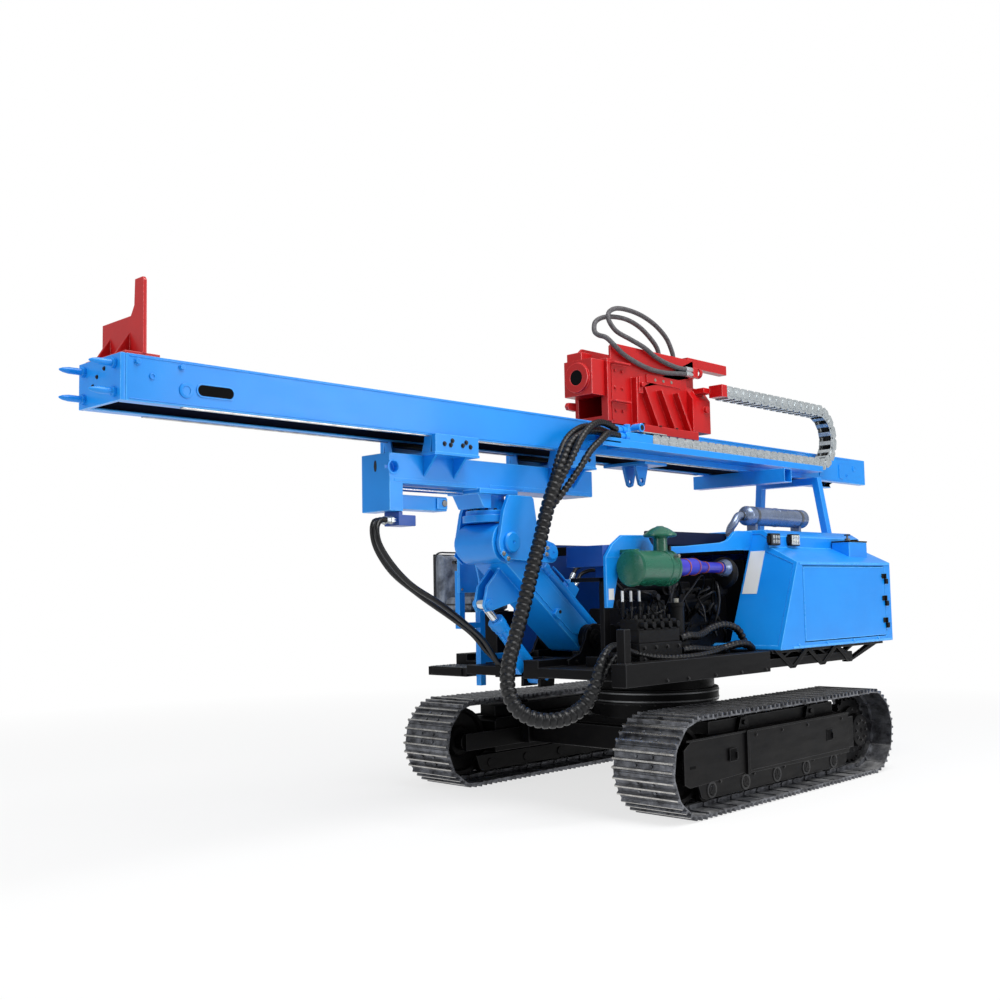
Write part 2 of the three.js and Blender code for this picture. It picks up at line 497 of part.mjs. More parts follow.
// ---------------------------------------------------------------- slide frame
function slideFrame() {
  const neck = bar('z', 100, SWING_LOW + 45 + SEAT, FRAME_LOW + 20, [0, SWING_Y], 32);
  const flange = bar('z', SWING_R - 20, SWING_LOW + 45 + SEAT, SWING_LOW + 75, [0, SWING_Y], 40);
  const beams = box(-FRAME_HALF, FRAME_HALF, FRAME_FRONT, FRAME_REAR, FRAME_LOW, FRAME_TOP);
  const hollow = box(-FRAME_HALF + 16, FRAME_HALF - 16, FRAME_FRONT + 100, FRAME_REAR - 40, FRAME_LOW + 16, FRAME_TOP + 10);
  const block = box(-FRAME_HALF, FRAME_HALF, FRAME_FRONT, FRAME_FRONT + 100, BLOCK_LOW, FRAME_TOP);
  const lowerBar = box(-60, 60, FRAME_FRONT + 60, SWING_Y - 415, 1840, 1925);
  const saddle = box(-FRAME_HALF - 20, FRAME_HALF + 20, SWING_Y - 220, SWING_Y + 120, 1956, FRAME_LOW + 5);
  const gusset = side([[SWING_Y - 225, FRAME_LOW + 2], [SWING_Y - 90, FRAME_LOW + 2], [SWING_Y - 90, 1870],
    [SWING_Y - 155, 1870]], -FRAME_HALF + 10, FRAME_HALF - 10);
  const hole = bar('x', 33, FRAME_HALF - 40, FRAME_HALF + 40, [FRAME_FRONT + 32, 2075], 24);
  const shape = join(beams, block, lowerBar, saddle, gusset, neck, flange).subtract(hollow).subtract(hole);
  add('slide_frame', shape, 'blue');

  const clampYs = [[-1660, -1310], [-560, -210]];
  clampYs.forEach(([y0, y1], index) => {
    const grip = MAST_HALF + RUN;
    const wings = [-1, 1].map((way) => {
      const outline = [[FRAME_HALF + SEAT, 2060], [FRAME_HALF + SEAT, FRAME_TOP + 10], [grip - 60, MAST_LOW - 30],
        [grip - 60, MAST_LOW - SEAT], [grip, MAST_LOW - SEAT], [grip, MAST_LOW + 10], [grip + 38, MAST_LOW + 10],
        [grip + 38, MAST_LOW - 100], [grip - 10, MAST_LOW - 100]];
      const points = outline.map(([px, pz]) => [way * px, pz]);
      if (way < 0) points.reverse();
      return front(points, y0, y1);
    });
    const bridge = box(-grip + 10, grip - 10, y0, y1, FRAME_TOP + SEAT, FRAME_TOP + 30);
    add(`mast_clamp_${index ? 'rear' : 'front'}`, join(...wings, bridge), 'blue');
  });

  const valveY = FRAME_FRONT + 70;
  const fittings = VALVE_HOSE_X.map((x) => bar('y', 16, FRAME_FRONT, valveY + 1, [x, VALVE_HOSE_Z], 16));
  add('slide_valve', join(box(-10, 120, valveY, valveY + 130, BLOCK_LOW - 82, BLOCK_LOW - SEAT), ...fittings)
    .subtract(box(-20, 130, FRAME_FRONT + 100, valveY + 131, BLOCK_LOW - 20, BLOCK_LOW)), 'dark_blue');
}

// ---------------------------------------------------------------- mast
function mast() {
  const outer = box(-MAST_HALF, MAST_HALF, MAST_FRONT, MAST_REAR, MAST_LOW, MAST_TOP);
  const inner = box(-MAST_HALF + MAST_WALL, MAST_HALF - MAST_WALL, MAST_FRONT - 1, MAST_REAR + 1,
    MAST_LOW + MAST_WALL, MAST_TOP - MAST_WALL);
  const open = box(-MAST_HALF + MAST_LIP, MAST_HALF - MAST_LIP, MAST_FRONT - 1, MAST_REAR + 1, MAST_LOW - 1, MAST_LOW + MAST_WALL + 1);
  const slots = box(MAST_HALF - 30, MAST_HALF + 1, -3181, -2987, 2330, 2372);
  add('mast_beam', outer.subtract(inner).subtract(open).subtract(slots), 'blue');

  const plate = box(-MAST_HALF, MAST_HALF, MAST_FRONT - 25, MAST_FRONT - SEAT, MAST_LOW, MAST_TOP);
  const spikes = [];
  for (const x of [-150, 150]) {
    for (const z of [MAST_LOW + 45, MAST_TOP - 45]) {
      const cone = new THREE.CylinderGeometry(3, 17, 130, 12);
      spikes.push(solid(cone.rotateX(Math.PI).translate(x, MAST_FRONT - 24 - 64, z)));
    }
  }
  add('mast_foot_plate', join(plate, ...spikes), 'blue');

  const y0 = MAST_FRONT + 2;
  const top = MAST_TOP + SEAT;
  const base = box(-195, 195, y0, y0 + 180, top, top + 14);
  const guide = front([[-200, top + 10], [204, top + 10], [202, 2850], [190, 2865], [118, 2865], [112, 2740],
    [80, 2695], [-200, 2695]], y0 + 88, y0 + 106);
  const ribs = [-130, 60].map((x) => side([[y0 + 10, top + 10], [y0 + 89, top + 10], [y0 + 89, 2620]], x, x + 14));
  add('pile_guide', join(base, guide, ...ribs), 'red');

  const trayLow = CHAIN_LOW - CHAIN_BAND / 2 - 12;
  const tray = box(MAST_HALF + SEAT, CHAIN_X + CHAIN_WIDTH / 2 + 8, CHAIN_FIXED_Y - 320, 2640,
    trayLow - 8, trayLow + 12 - SEAT);
  const lip = box(CHAIN_X + CHAIN_WIDTH / 2 + SEAT, CHAIN_X + CHAIN_WIDTH / 2 + 8, CHAIN_FIXED_Y - 320, 2640,
    trayLow - 8, trayLow + 40);
  add('chain_tray', join(tray, lip), 'blue');

  const bend = [];
  const ring = (radius, reverse) => {
    const arc = [];
    for (let i = 0; i <= 16; i += 1) {
      const turn = -Math.PI / 2 + (Math.PI * (reverse ? 16 - i : i)) / 16;
      arc.push([CHAIN_BEND_Y + radius * Math.cos(turn), CHAIN_LOW + CHAIN_R + radius * Math.sin(turn)]);
    }
    return arc;
  };
  const outerR = CHAIN_R + CHAIN_BAND / 2;
  const innerR = CHAIN_R - CHAIN_BAND / 2;
  bend.push([CHAIN_FIXED_Y, CHAIN_LOW - CHAIN_BAND / 2], ...ring(outerR, false), [CHAIN_MOVING_Y, CHAIN_LOW + CHAIN_R + outerR],
    [CHAIN_MOVING_Y, CHAIN_LOW + CHAIN_R + innerR], ...ring(innerR, true), [CHAIN_FIXED_Y, CHAIN_LOW + CHAIN_BAND / 2]);
  add('drag_chain', side(bend, CHAIN_X - CHAIN_WIDTH / 2, CHAIN_X + CHAIN_WIDTH / 2), 'zinc');

  const board = box(CHAIN_X - CHAIN_WIDTH / 2, CHAIN_X + CHAIN_WIDTH / 2, CHAIN_FIXED_Y - 300, CHAIN_FIXED_Y - SEAT,
    CHAIN_LOW - CHAIN_BAND / 2 + 0, CHAIN_LOW + 40);
  add('hose_bulkhead', join(board, bar('y', 34, CHAIN_FIXED_Y - 360, CHAIN_FIXED_Y - 299, [CHAIN_X - 10, CHAIN_LOW + 20], 16)), 'blue');

  const lugY = 540;
  const lugZ = MAST_LOW - 125;
  const lugs = [-1, 1].map((way) => side(
    [[lugY - 75, MAST_LOW - 20], [lugY - 42, lugZ], [lugY - 30, lugZ - 32], [lugY, lugZ - 44],
      [lugY + 30, lugZ - 32], [lugY + 42, lugZ], [lugY + 75, MAST_LOW - 20]],
    ...[way * 40, way * 64].sort((a, b) => a - b)).subtract(bar('x', 18, -200, 200, [lugY, lugZ], 16)));
  add('mast_lugs', join(...lugs, box(-190, 190, lugY - 130, lugY + 130, MAST_LOW - 24, MAST_LOW - SEAT)), 'blue');

  const tubeHalf = 53;
  const tubeY = 1765;
  const tubeZ = MAST_LOW - SEAT - tubeHalf;
  const tube = (half, x0, x1) => box(x0, x1, tubeY - half, tubeY + half, tubeZ - half, tubeZ + half);
  add('cross_tube', tube(tubeHalf, -300, 540).subtract(tube(tubeHalf - 6, -301, 541)), 'blue');
}

// ---------------------------------------------------------------- drive head
function driveHead() {
  const half = HEAD_SQUARE / 2;
  const low = HEAD_AXIS_Z - half;
  const nose = box(-half, half, HEAD_FRONT, 90, low, HEAD_AXIS_Z + half);
  const ring = bar('y', 104, HEAD_FRONT - 22, HEAD_FRONT + 10, [0, HEAD_AXIS_Z], 40);
  const bore = bar('y', HEAD_BORE_R, HEAD_FRONT - 40, HEAD_FRONT + 260, [0, HEAD_AXIS_Z], 32);
  const crown = box(-half + 10, 20, HEAD_FRONT + 20, 300, HEAD_AXIS_Z + half - 1, HEAD_AXIS_Z + half + 60);
  add('head_nose', join(nose, ring, crown).subtract(bore).subtract(box(-300, 300, 60 - SEAT, 400, 2400, 3100)), 'red');

  const inside = BODY_SIDE - 20;
  const body = side([[60, CARRIAGE_LOW + 20], [60, BODY_LID], [1010, BODY_LID], [1010, CARRIAGE_LOW + 20]],
    -inside - 1, inside + 1);
  const plates = [[-BODY_SIDE, -inside], [inside, BODY_SIDE]].map(([x0, x1]) => side([[100, CARRIAGE_LOW + 20],
    [100, BODY_TOP - 25], [130, BODY_TOP], [1100, BODY_TOP], [1100, 2935], [1010, 2935],
    [1010, CARRIAGE_LOW + 20]], x0, x1));
  const collar = box(-BODY_SIDE, BODY_SIDE, 60, 101, 2520, BODY_LID);
  const ledges = [2655, 2925].map((z) => box(BODY_SIDE - 1, 196, 89, 270, z, z + 12));
  const cheek = box(BODY_SIDE - 1, 200, 325, 345, CARRIAGE_LOW + 10, 2850);
  const ribs = [420, 620, 820].map((y) => side([[y, 2790], [y + 20, 2790], [y + 190, CARRIAGE_LOW + 10],
    [y + 168, CARRIAGE_LOW + 10]], BODY_SIDE - 1, 200));
  const pad = box(-CARRIAGE_HALF, CARRIAGE_HALF, 255, 1035, CARRIAGE_LOW, CARRIAGE_LOW + 26);
  const flank = (inner, low, high) => [-1, 1].map((way) => box(
    ...[way * inner, way * (CARRIAGE_HALF + 16)].sort((a, b) => a - b), 255, 1035, low, high));
  const grips = [...flank(CARRIAGE_HALF - 2, MAST_TOP - 30, CARRIAGE_LOW + 26),
    ...flank(MAST_HALF + RUN, MAST_TOP - 34, MAST_TOP + 10)];
  const manifold = box(BODY_SIDE - 1, 196, 1040, 1099, 2936, 3010);
  const guard = box(60, BODY_SIDE - 19, 1060, 1590, 3025, 3100);
  const tools = box(-116, 90, 59, 700, 2560, 2900);
  add('head_carriage', join(body, ...plates, collar, cheek, ...ledges, ...ribs, pad, ...grips, manifold, guard)
    .subtract(tools), 'red');

  const edge = CARRIAGE_HALF - 12;
  const cover = front([[-100, 2520], [edge, 2520], [edge, 2770], [130, 2870], [-60, 2870], [-100, 2820]],
    1010 + SEAT, 1240);
  const boss = bar('x', 26, 190, 226, [1170, 2700], 16);
  const anchorZ = CHAIN_LOW + 2 * CHAIN_R;
  const anchor = join(
    box(CHAIN_X - 60, CHAIN_X + 60, CHAIN_MOVING_Y - 70, CHAIN_MOVING_Y - SEAT, anchorZ - 40, anchorZ + 52),
    box(-60, CHAIN_X - 50, CHAIN_MOVING_Y - 150, CHAIN_MOVING_Y - 40, anchorZ - 8, anchorZ + 32));
  add('motor_cover', join(cover, boss, anchor), 'red');
}

// ---------------------------------------------------------------- hoses
function hoses() {
  const conduit = [[290, CHAIN_FIXED_Y - 360 - SEAT, 2392], [290, -170, 2392], [310, -260, 2396], [335, -420, 2376], [370, -600, 2290], [382, -700, 2160], [378, -780, 2010],
    [368, -850, 1840], [358, -905, 1660], [352, -970, 1490], [350, -1045, 1290], [362, -1140, 1090], [390, -1233, 937],
    [430, -1287, 798], [490, -1278, 681], [560, -1187, 616], [630, -1049, 612], [690, -920, 680], [732, -860, 800],
    [750, -835, 905], [740, -760, 985], [690, -640, 1010], [650, -540, 1010], [650, BANK_FRONT - SEAT, 1010]];
  add('conduit', tube(conduit, 86, 60), 'rubber');

  const start = FRAME_FRONT - SEAT;
  const end = DECK_FRONT + 60 - SEAT;
  const valveHoses = [
    [[VALVE_HOSE_X[0], start, VALVE_HOSE_Z], [90, -1945, 1768], [105, -1985, 1730], [122, -1990, 1650],
      [135, -1925, 1542], [135, -1774, 1412], [115, -1525, 1294], [40, -1256, 1175], [-60, -993, 1055],
      [-110, -860, 960], [-120, -800, 905], [-120, end, 893]],
    [[VALVE_HOSE_X[1], start, VALVE_HOSE_Z], [32, -1940, 1766], [45, -1968, 1725], [50, -1955, 1630],
      [52, -1850, 1489], [30, -1620, 1350], [0, -1310, 1195], [-100, -1040, 1085], [-155, -880, 985],
      [-165, -800, 930], [-165, end, 895]]];
  const valveStops = box(0, 140, start, start + 30, 1740, 1800).add(box(-220, -60, end, end + 30, 850, 950));
  valveHoses.forEach((points, i) => add(`valve_hose_${i ? 'right' : 'left'}`,
    tube(points, VALVE_HOSE_DIAMETER, 40).subtract(valveStops), 'rubber'));
  const lid = BODY_LID + SEAT;
  const manifoldFace = 1040 - SEAT;
  const headHoses = [
    [[50, 985, lid], [50, 985, 3115], [48, 965, 3165], [40, 923, 3238], [30, 811, 3318], [20, 657, 3372],
      [20, 477, 3389], [30, 318, 3371], [50, 216, 3317], [70, 191, 3260], [95, 234, 3187], [145, 345, 3128],
      [174, 450, 3085], [174, 600, 3030], [174, 760, 2998], [172, 900, 2988], [172, 980, 2991],
      [172, manifoldFace, 2991]],
    [[50, 800, lid], [50, 800, 3110], [48, 782, 3150], [40, 722, 3208], [20, 622, 3281], [0, 500, 3322],
      [-10, 351, 3323], [-20, 234, 3301], [-10, 135, 3247], [20, 90, 3173], [80, 62, 3130], [140, 66, 3105],
      [176, 108, 3052], [176, 200, 3005], [174, 320, 2970], [172, 527, 2934], [172, 724, 2932],
      [172, 900, 2948], [172, 980, 2954], [172, manifoldFace, 2954]]];
  const headStops = box(0, 100, 700, 1080, lid - 40, lid)
    .add(box(100, 220, manifoldFace, manifoldFace + 30, 2900, 3050));
  headHoses.forEach((points, i) => add(`head_hose_${i ? 'inner' : 'outer'}`,
    tube(points, HEAD_HOSE_DIAMETER, 48).subtract(headStops), 'rubber'));
}

undercarriage();
upperStructure();
engineBay();
hood();
bayFittings();
valveBank();
operatorStation();
trestle();
boomGroup();
liftCylinder();
tiltCylinder();
tiltHead();
slideFrame();
mast();
driveHead();
hoses();

export default group;
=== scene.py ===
# %% [markdown]
# # A tracked pile driver rig in travel position
# The machine stands on two steel crawler tracks. A boom carries a long level mast, a red drive head
# rides on top of the mast, and an open engine bay and a blue hood sit behind.
# The measured model comes first: each piece below takes its place from it.

# %% Load the measured model
import math
import random

import bpy
from mathutils import Matrix, Vector


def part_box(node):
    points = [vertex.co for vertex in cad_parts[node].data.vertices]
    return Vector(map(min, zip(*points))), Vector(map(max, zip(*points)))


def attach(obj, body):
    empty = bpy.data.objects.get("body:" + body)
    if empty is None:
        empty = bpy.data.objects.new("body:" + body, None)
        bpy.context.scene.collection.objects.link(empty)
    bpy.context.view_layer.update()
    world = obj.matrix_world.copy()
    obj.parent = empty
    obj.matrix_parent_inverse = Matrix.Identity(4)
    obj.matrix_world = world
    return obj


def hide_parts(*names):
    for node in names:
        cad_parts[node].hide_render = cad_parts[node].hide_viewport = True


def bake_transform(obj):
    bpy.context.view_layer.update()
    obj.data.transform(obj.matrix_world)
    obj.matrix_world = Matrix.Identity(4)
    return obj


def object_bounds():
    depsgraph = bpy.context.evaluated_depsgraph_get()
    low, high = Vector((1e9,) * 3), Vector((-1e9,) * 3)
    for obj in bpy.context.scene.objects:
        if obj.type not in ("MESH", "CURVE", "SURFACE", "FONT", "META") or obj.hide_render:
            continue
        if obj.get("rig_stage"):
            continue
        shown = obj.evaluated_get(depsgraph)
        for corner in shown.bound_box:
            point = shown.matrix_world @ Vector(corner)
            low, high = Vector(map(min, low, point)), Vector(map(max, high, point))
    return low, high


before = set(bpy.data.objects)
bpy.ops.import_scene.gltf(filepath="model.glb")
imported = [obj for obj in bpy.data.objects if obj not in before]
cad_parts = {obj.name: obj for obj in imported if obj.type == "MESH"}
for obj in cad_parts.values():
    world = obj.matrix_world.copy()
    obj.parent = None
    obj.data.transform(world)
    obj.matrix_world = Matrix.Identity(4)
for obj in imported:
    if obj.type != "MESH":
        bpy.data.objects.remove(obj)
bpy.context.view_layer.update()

# %% [markdown]
# ## The camera
# A long machine seen from its front left corner, a little above the tracks and looking slightly up.
# The three axes of the camera are worked out from a compass turn, a tilt and a small roll, because
# a matrix built this way holds no surprise in the order of its angles.

# %% Place the camera
TURN, TILT, ROLL = math.radians(44.013), math.radians(4.592), math.radians(-1.061)
ahead = Vector((-math.sin(TURN) * math.cos(TILT), math.cos(TURN) * math.cos(TILT), math.sin(TILT)))
level = Vector((math.cos(TURN), math.sin(TURN), 0))
above = level.cross(ahead)
rightward = level * math.cos(ROLL) + above * math.sin(ROLL)
upward = above * math.cos(ROLL) - level * math.sin(ROLL)
bpy.ops.object.camera_add(location=(5.0725, -6.13, 1.35))
camera = bpy.context.object
camera.name = "camera"
camera.data.lens = 41.38
camera.data.sensor_width = 36
axes = Matrix((rightward, upward, -ahead)).transposed().to_4x4()
camera.matrix_world = Matrix.Translation(camera.location) @ axes
bpy.context.scene.camera = camera
print("camera looks along", [round(v, 3) for v in ahead])

# %% [markdown]
# ## Light
# Studio light for painted steel: a white room that fills every side, one large soft lamp high over the
# left side, and two weaker ones from the left and the front. The camera and clear glass see plain white
# behind the machine, while the paint is lit by a dimmer world, so colours stay as they are mixed.

# %% Set up the world and the lamps
scene = bpy.context.scene
scene.view_settings.view_transform = "Standard"
world = bpy.data.worlds.new("studio")
scene.world = world
world.use_nodes = True
sky = world.node_tree
sky.nodes.clear()
room_light = sky.nodes.new("ShaderNodeBackground")
room_light.inputs["Strength"].default_value = 0.44
room_white = sky.nodes.new("ShaderNodeBackground")
room_white.inputs["Color"].default_value = (1, 1, 1, 1)
room_light.inputs["Color"].default_value = (0.97, 0.985, 1, 1)
ray = sky.nodes.new("ShaderNodeLightPath")
either = sky.nodes.new("ShaderNodeMath")
either.operation = "MAXIMUM"
room_mix = sky.nodes.new("ShaderNodeMixShader")
room_out = sky.nodes.new("ShaderNodeOutputWorld")
sky.links.new(ray.outputs["Is Camera Ray"], either.inputs[0])
sky.links.new(ray.outputs["Is Transmission Ray"], either.inputs[1])
sky.links.new(either.outputs[0], room_mix.inputs[0])
sky.links.new(room_light.outputs[0], room_mix.inputs[1])
sky.links.new(room_white.outputs[0], room_mix.inputs[2])
sky.links.new(room_mix.outputs[0], room_out.inputs["Surface"])


def lamp(name, place, target, size, power):
    """A square soft lamp that looks at a point."""
    bpy.ops.object.light_add(type="AREA", location=place)
    made = bpy.context.object
    made.name = name
    made.data.size = size
    made.data.energy = power
    look = (Vector(target) - Vector(place)).to_track_quat("-Z", "Y")
    made.rotation_euler = look.to_euler()
    return made


lamp("key", (4.2, -0.5, 9.5), (0, 0.2, 1.2), 6.0, 820)
lamp("fill", (8.5, 3.5, 3.5), (0, 0.8, 1.0), 4.0, 200)
lamp("front", (-1.5, -9.0, 4.0), (0, -0.5, 1.5), 4.0, 170)

# %% [markdown]
# ## Shader groups
# Paint on a working machine is never one flat colour: it is thicker and thinner in places, dust
# settles on what faces up, and hands and tools rub it smoother or duller. Each effect is one node
# group, built once, so every finish can mix its own amount of it. A group gives out only
# colours and values, and the shader itself stays in the material.

# %% Helpers for node trees
def colour(red, green, blue):
    """A display colour, 0 to 255, as the linear colour that shaders use."""
    def linear(level):
        level /= 255
        return level / 12.92 if level <= 0.04045 else ((level + 0.055) / 1.055) ** 2.4
    return (linear(red), linear(green), linear(blue), 1)


def node(tree, kind, settings=(), **values):
    """A node with its settings and its socket values."""
    made = tree.nodes.new(kind)
    for name, value in dict(settings).items():
        setattr(made, name, value)
    for name, value in values.items():
        made.inputs[name.replace("_", " ")].default_value = value
    return made


def new_group(name, inputs, outputs):
    """An empty group with its sockets. inputs and outputs are (name, kind, value) rows."""
    tree = bpy.data.node_groups.new(name, "ShaderNodeTree")
    for label, kind, value in inputs:
        socket = tree.interface.new_socket(name=label, in_out="INPUT", socket_type=kind)
        socket.default_value = value
    for label, kind in outputs:
        tree.interface.new_socket(name=label, in_out="OUTPUT", socket_type=kind)
    return tree, tree.nodes.new("NodeGroupInput"), tree.nodes.new("NodeGroupOutput")


def clamped_range(tree, source, low, high, to_low=0.0, to_high=1.0):
    """The source value between low and high, stretched to a new range."""
    made = node(tree, "ShaderNodeMapRange")
    tree.links.new(source, made.inputs["Value"])
    for label, value in (("From Min", low), ("From Max", high), ("To Min", to_low), ("To Max", to_high)):
        made.inputs[label].default_value = value
    return made.outputs["Result"]


def times(tree, first, second, operation="MULTIPLY"):
    """One value worked out from two sockets or numbers."""
    made = node(tree, "ShaderNodeMath", {"operation": operation})
    for place, value in enumerate((first, second)):
        if isinstance(value, (int, float)):
            made.inputs[place].default_value = value
        else:
            tree.links.new(value, made.inputs[place])
    return made.outputs[0]


def blended(tree, factor, first, second):
    """Two colours mixed by a factor."""
    made = node(tree, "ShaderNodeMix", {"data_type": "RGBA"})
    tree.links.new(factor, made.inputs["Factor"])
    for label, value in (("A", first), ("B", second)):
        socket = next(s for s in made.inputs if s.name == label and s.type == "RGBA")
        if isinstance(value, tuple):
            socket.default_value = value
        else:
            tree.links.new(value, socket)
    return next(s for s in made.outputs if s.type == "RGBA")


# %% [markdown]
# The uneven coat: slow clouds that mix a colour with its deeper tone.

# %% Build the uneven coat group
COLOUR, VALUE = "NodeSocketColor", "NodeSocketFloat"
coat_tree, coat_in, coat_out = new_group(
    "uneven_coat",
    [("Colour", COLOUR, (1, 1, 1, 1)), ("Deep", COLOUR, (0, 0, 0, 1)), ("Scale", VALUE, 2), ("Amount", VALUE, 0.3)],
    [("Colour", COLOUR)])
coat_place = node(coat_tree, "ShaderNodeTexCoord")
coat_noise = node(coat_tree, "ShaderNodeTexNoise", Detail=5.0, Roughness=0.62)
coat_tree.links.new(coat_place.outputs["Object"], coat_noise.inputs["Vector"])
coat_tree.links.new(coat_in.outputs["Scale"], coat_noise.inputs["Scale"])
coat_cloud = clamped_range(coat_tree, coat_noise.outputs[0], 0.34, 0.7)
coat_amount = times(coat_tree, coat_cloud, coat_in.outputs["Amount"])
coat_tree.links.new(
    blended(coat_tree, coat_amount, coat_in.outputs["Colour"], coat_in.outputs["Deep"]), coat_out.inputs["Colour"])
print("group", coat_tree.name)

# %% [markdown]
# Settled dust: it lies on faces that look up, in patches, and thicker low down where the tracks throw it. On the
# track shoes its pale tone on upward faces is partly dust and partly a painted highlight of the light from above.

# %% Build the settled dust group
dust_tree, dust_in, dust_out = new_group(
    "dust_and_top_sheen",
    [("Colour", COLOUR, (1, 1, 1, 1)), ("Dust", COLOUR, colour(150, 140, 125)), ("Top", VALUE, 0.3),
     ("Low", VALUE, 0.2)],
    [("Colour", COLOUR), ("Mask", VALUE)])
dust_place = node(dust_tree, "ShaderNodeTexCoord")
dust_noise = node(dust_tree, "ShaderNodeTexNoise", Scale=7.0, Detail=7.0, Roughness=0.7)
dust_tree.links.new(dust_place.outputs["Object"], dust_noise.inputs["Vector"])
dust_patch = clamped_range(dust_tree, dust_noise.outputs[0], 0.38, 0.72)
dust_face = node(dust_tree, "ShaderNodeNewGeometry")
face_axes = node(dust_tree, "ShaderNodeSeparateXYZ")
dust_tree.links.new(dust_face.outputs["Normal"], face_axes.inputs[0])
facing_up = clamped_range(dust_tree, face_axes.outputs["Z"], 0.35, 0.95)
place_axes = node(dust_tree, "ShaderNodeSeparateXYZ")
dust_tree.links.new(dust_place.outputs["Object"], place_axes.inputs[0])
near_ground = clamped_range(dust_tree, place_axes.outputs["Z"], 0.05, 0.9, 1.0, 0.0)
top_dust_and_sheen = times(dust_tree, times(dust_tree, facing_up, dust_patch), dust_in.outputs["Top"])
low_dust = times(dust_tree, times(dust_tree, near_ground, dust_patch), dust_in.outputs["Low"])
dust_mask = times(dust_tree, top_dust_and_sheen, low_dust, "MAXIMUM")
dust_tree.links.new(
    blended(dust_tree, dust_mask, dust_in.outputs["Colour"], dust_in.outputs["Dust"]), dust_out.inputs["Colour"])
dust_tree.links.new(dust_mask, dust_out.inputs["Mask"])
print("group", dust_tree.name)

# %% [markdown]
# Rub marks: fine streaks along the machine that change how sharply the surface shines.

# %% Build the rub marks group
rub_tree, rub_in, rub_out = new_group(
    "rub_marks", [("Roughness", VALUE, 0.4), ("Amount", VALUE, 0.1), ("Scale", VALUE, 14)],
    [("Roughness", VALUE), ("Mask", VALUE)])
rub_place = node(rub_tree, "ShaderNodeTexCoord")
rub_stretch = node(rub_tree, "ShaderNodeMapping")
rub_stretch.inputs["Scale"].default_value = (1, 0.22, 1.4)
rub_noise = node(rub_tree, "ShaderNodeTexNoise", Detail=8.0, Roughness=0.75)
rub_tree.links.new(rub_place.outputs["Object"], rub_stretch.inputs["Vector"])
rub_tree.links.new(rub_stretch.outputs[0], rub_noise.inputs["Vector"])
rub_tree.links.new(rub_in.outputs["Scale"], rub_noise.inputs["Scale"])
rub_mask = clamped_range(rub_tree, rub_noise.outputs[0], 0.42, 0.68)
rub_centred = times(rub_tree, rub_mask, 0.5, "SUBTRACT")
rub_change = times(rub_tree, rub_centred, rub_in.outputs["Amount"])
rub_tree.links.new(times(rub_tree, rub_in.outputs["Roughness"], rub_change, "ADD"), rub_out.inputs["Roughness"])
rub_tree.links.new(rub_mask, rub_out.inputs["Mask"])
print("group", rub_tree.name)

# %% [markdown]
# Fine grain: the orange peel of sprayed paint, or the pores of cast iron, as a height for a bump.

# %% Build the fine grain group
grain_tree, grain_in, grain_out = new_group(
    "fine_grain", [("Scale", VALUE, 160), ("Pores", VALUE, 0.0)], [("Height", VALUE)])
grain_place = node(grain_tree, "ShaderNodeTexCoord")
grain_noise = node(grain_tree, "ShaderNodeTexNoise", Detail=3.0)
grain_pits = node(grain_tree, "ShaderNodeTexVoronoi")
for texture in (grain_noise, grain_pits):
    grain_tree.links.new(grain_place.outputs["Object"], texture.inputs["Vector"])
    grain_tree.links.new(grain_in.outputs["Scale"], texture.inputs["Scale"])
grain_pore = times(grain_tree, grain_pits.outputs["Distance"], grain_in.outputs["Pores"])
grain_tree.links.new(times(grain_tree, grain_noise.outputs[0], grain_pore, "ADD"), grain_out.inputs["Height"])
print("group", grain_tree.name)

# %% [markdown]
# ## Finishes
# One function mixes a finish from the four groups. What is the same all over a surface, such as how
# metallic it is or how thick its clear coat is, is set on the shader itself.

# %% Write the finish mixer
def finish(name, base, deep, roughness, metallic=0.0, coat=0.0, clouds=(2.0, 0.35), dust=(0.15, 0.1),
           rub=(0.15, 14.0), grain=(160.0, 0.0, 0.02), dust_and_sheen_tone=colour(150, 140, 125), coat_roughness=0.1,
           shine=0.5):
    """A material for one finish of the machine."""
    made = bpy.data.materials.new(name)
    made.use_nodes = True
    tree = made.node_tree
    shader = tree.nodes["Principled BSDF"]
    shader.inputs["Metallic"].default_value = metallic
    shader.inputs["Coat Weight"].default_value = coat
    shader.inputs["Coat Roughness"].default_value = coat_roughness
    shader.inputs["Specular IOR Level"].default_value = shine
    uneven = node(tree, "ShaderNodeGroup", {"node_tree": coat_tree})
    for label, value in (("Colour", base), ("Deep", deep), ("Scale", clouds[0]), ("Amount", clouds[1])):
        uneven.inputs[label].default_value = value
    dusty = node(tree, "ShaderNodeGroup", {"node_tree": dust_tree})
    for label, value in (("Dust", dust_and_sheen_tone), ("Top", dust[0]), ("Low", dust[1])):
        dusty.inputs[label].default_value = value
    rubbed = node(tree, "ShaderNodeGroup", {"node_tree": rub_tree})
    for label, value in (("Roughness", roughness), ("Amount", rub[0]), ("Scale", rub[1])):
        rubbed.inputs[label].default_value = value
    grained = node(tree, "ShaderNodeGroup", {"node_tree": grain_tree})
    for label, value in (("Scale", grain[0]), ("Pores", grain[1])):
        grained.inputs[label].default_value = value
    relief = node(tree, "ShaderNodeBump", Strength=grain[2] * 10, Distance=0.001)
    dulled = times(tree, dusty.outputs["Mask"], 0.3)
    tree.links.new(uneven.outputs["Colour"], dusty.inputs["Colour"])
    tree.links.new(dusty.outputs["Colour"], shader.inputs["Base Color"])
    tree.links.new(times(tree, rubbed.outputs["Roughness"], dulled, "ADD"), shader.inputs["Roughness"])
    tree.links.new(grained.outputs["Height"], relief.inputs["Height"])
    tree.links.new(relief.outputs["Normal"], shader.inputs["Normal"])
    made.diffuse_color = base
    return made
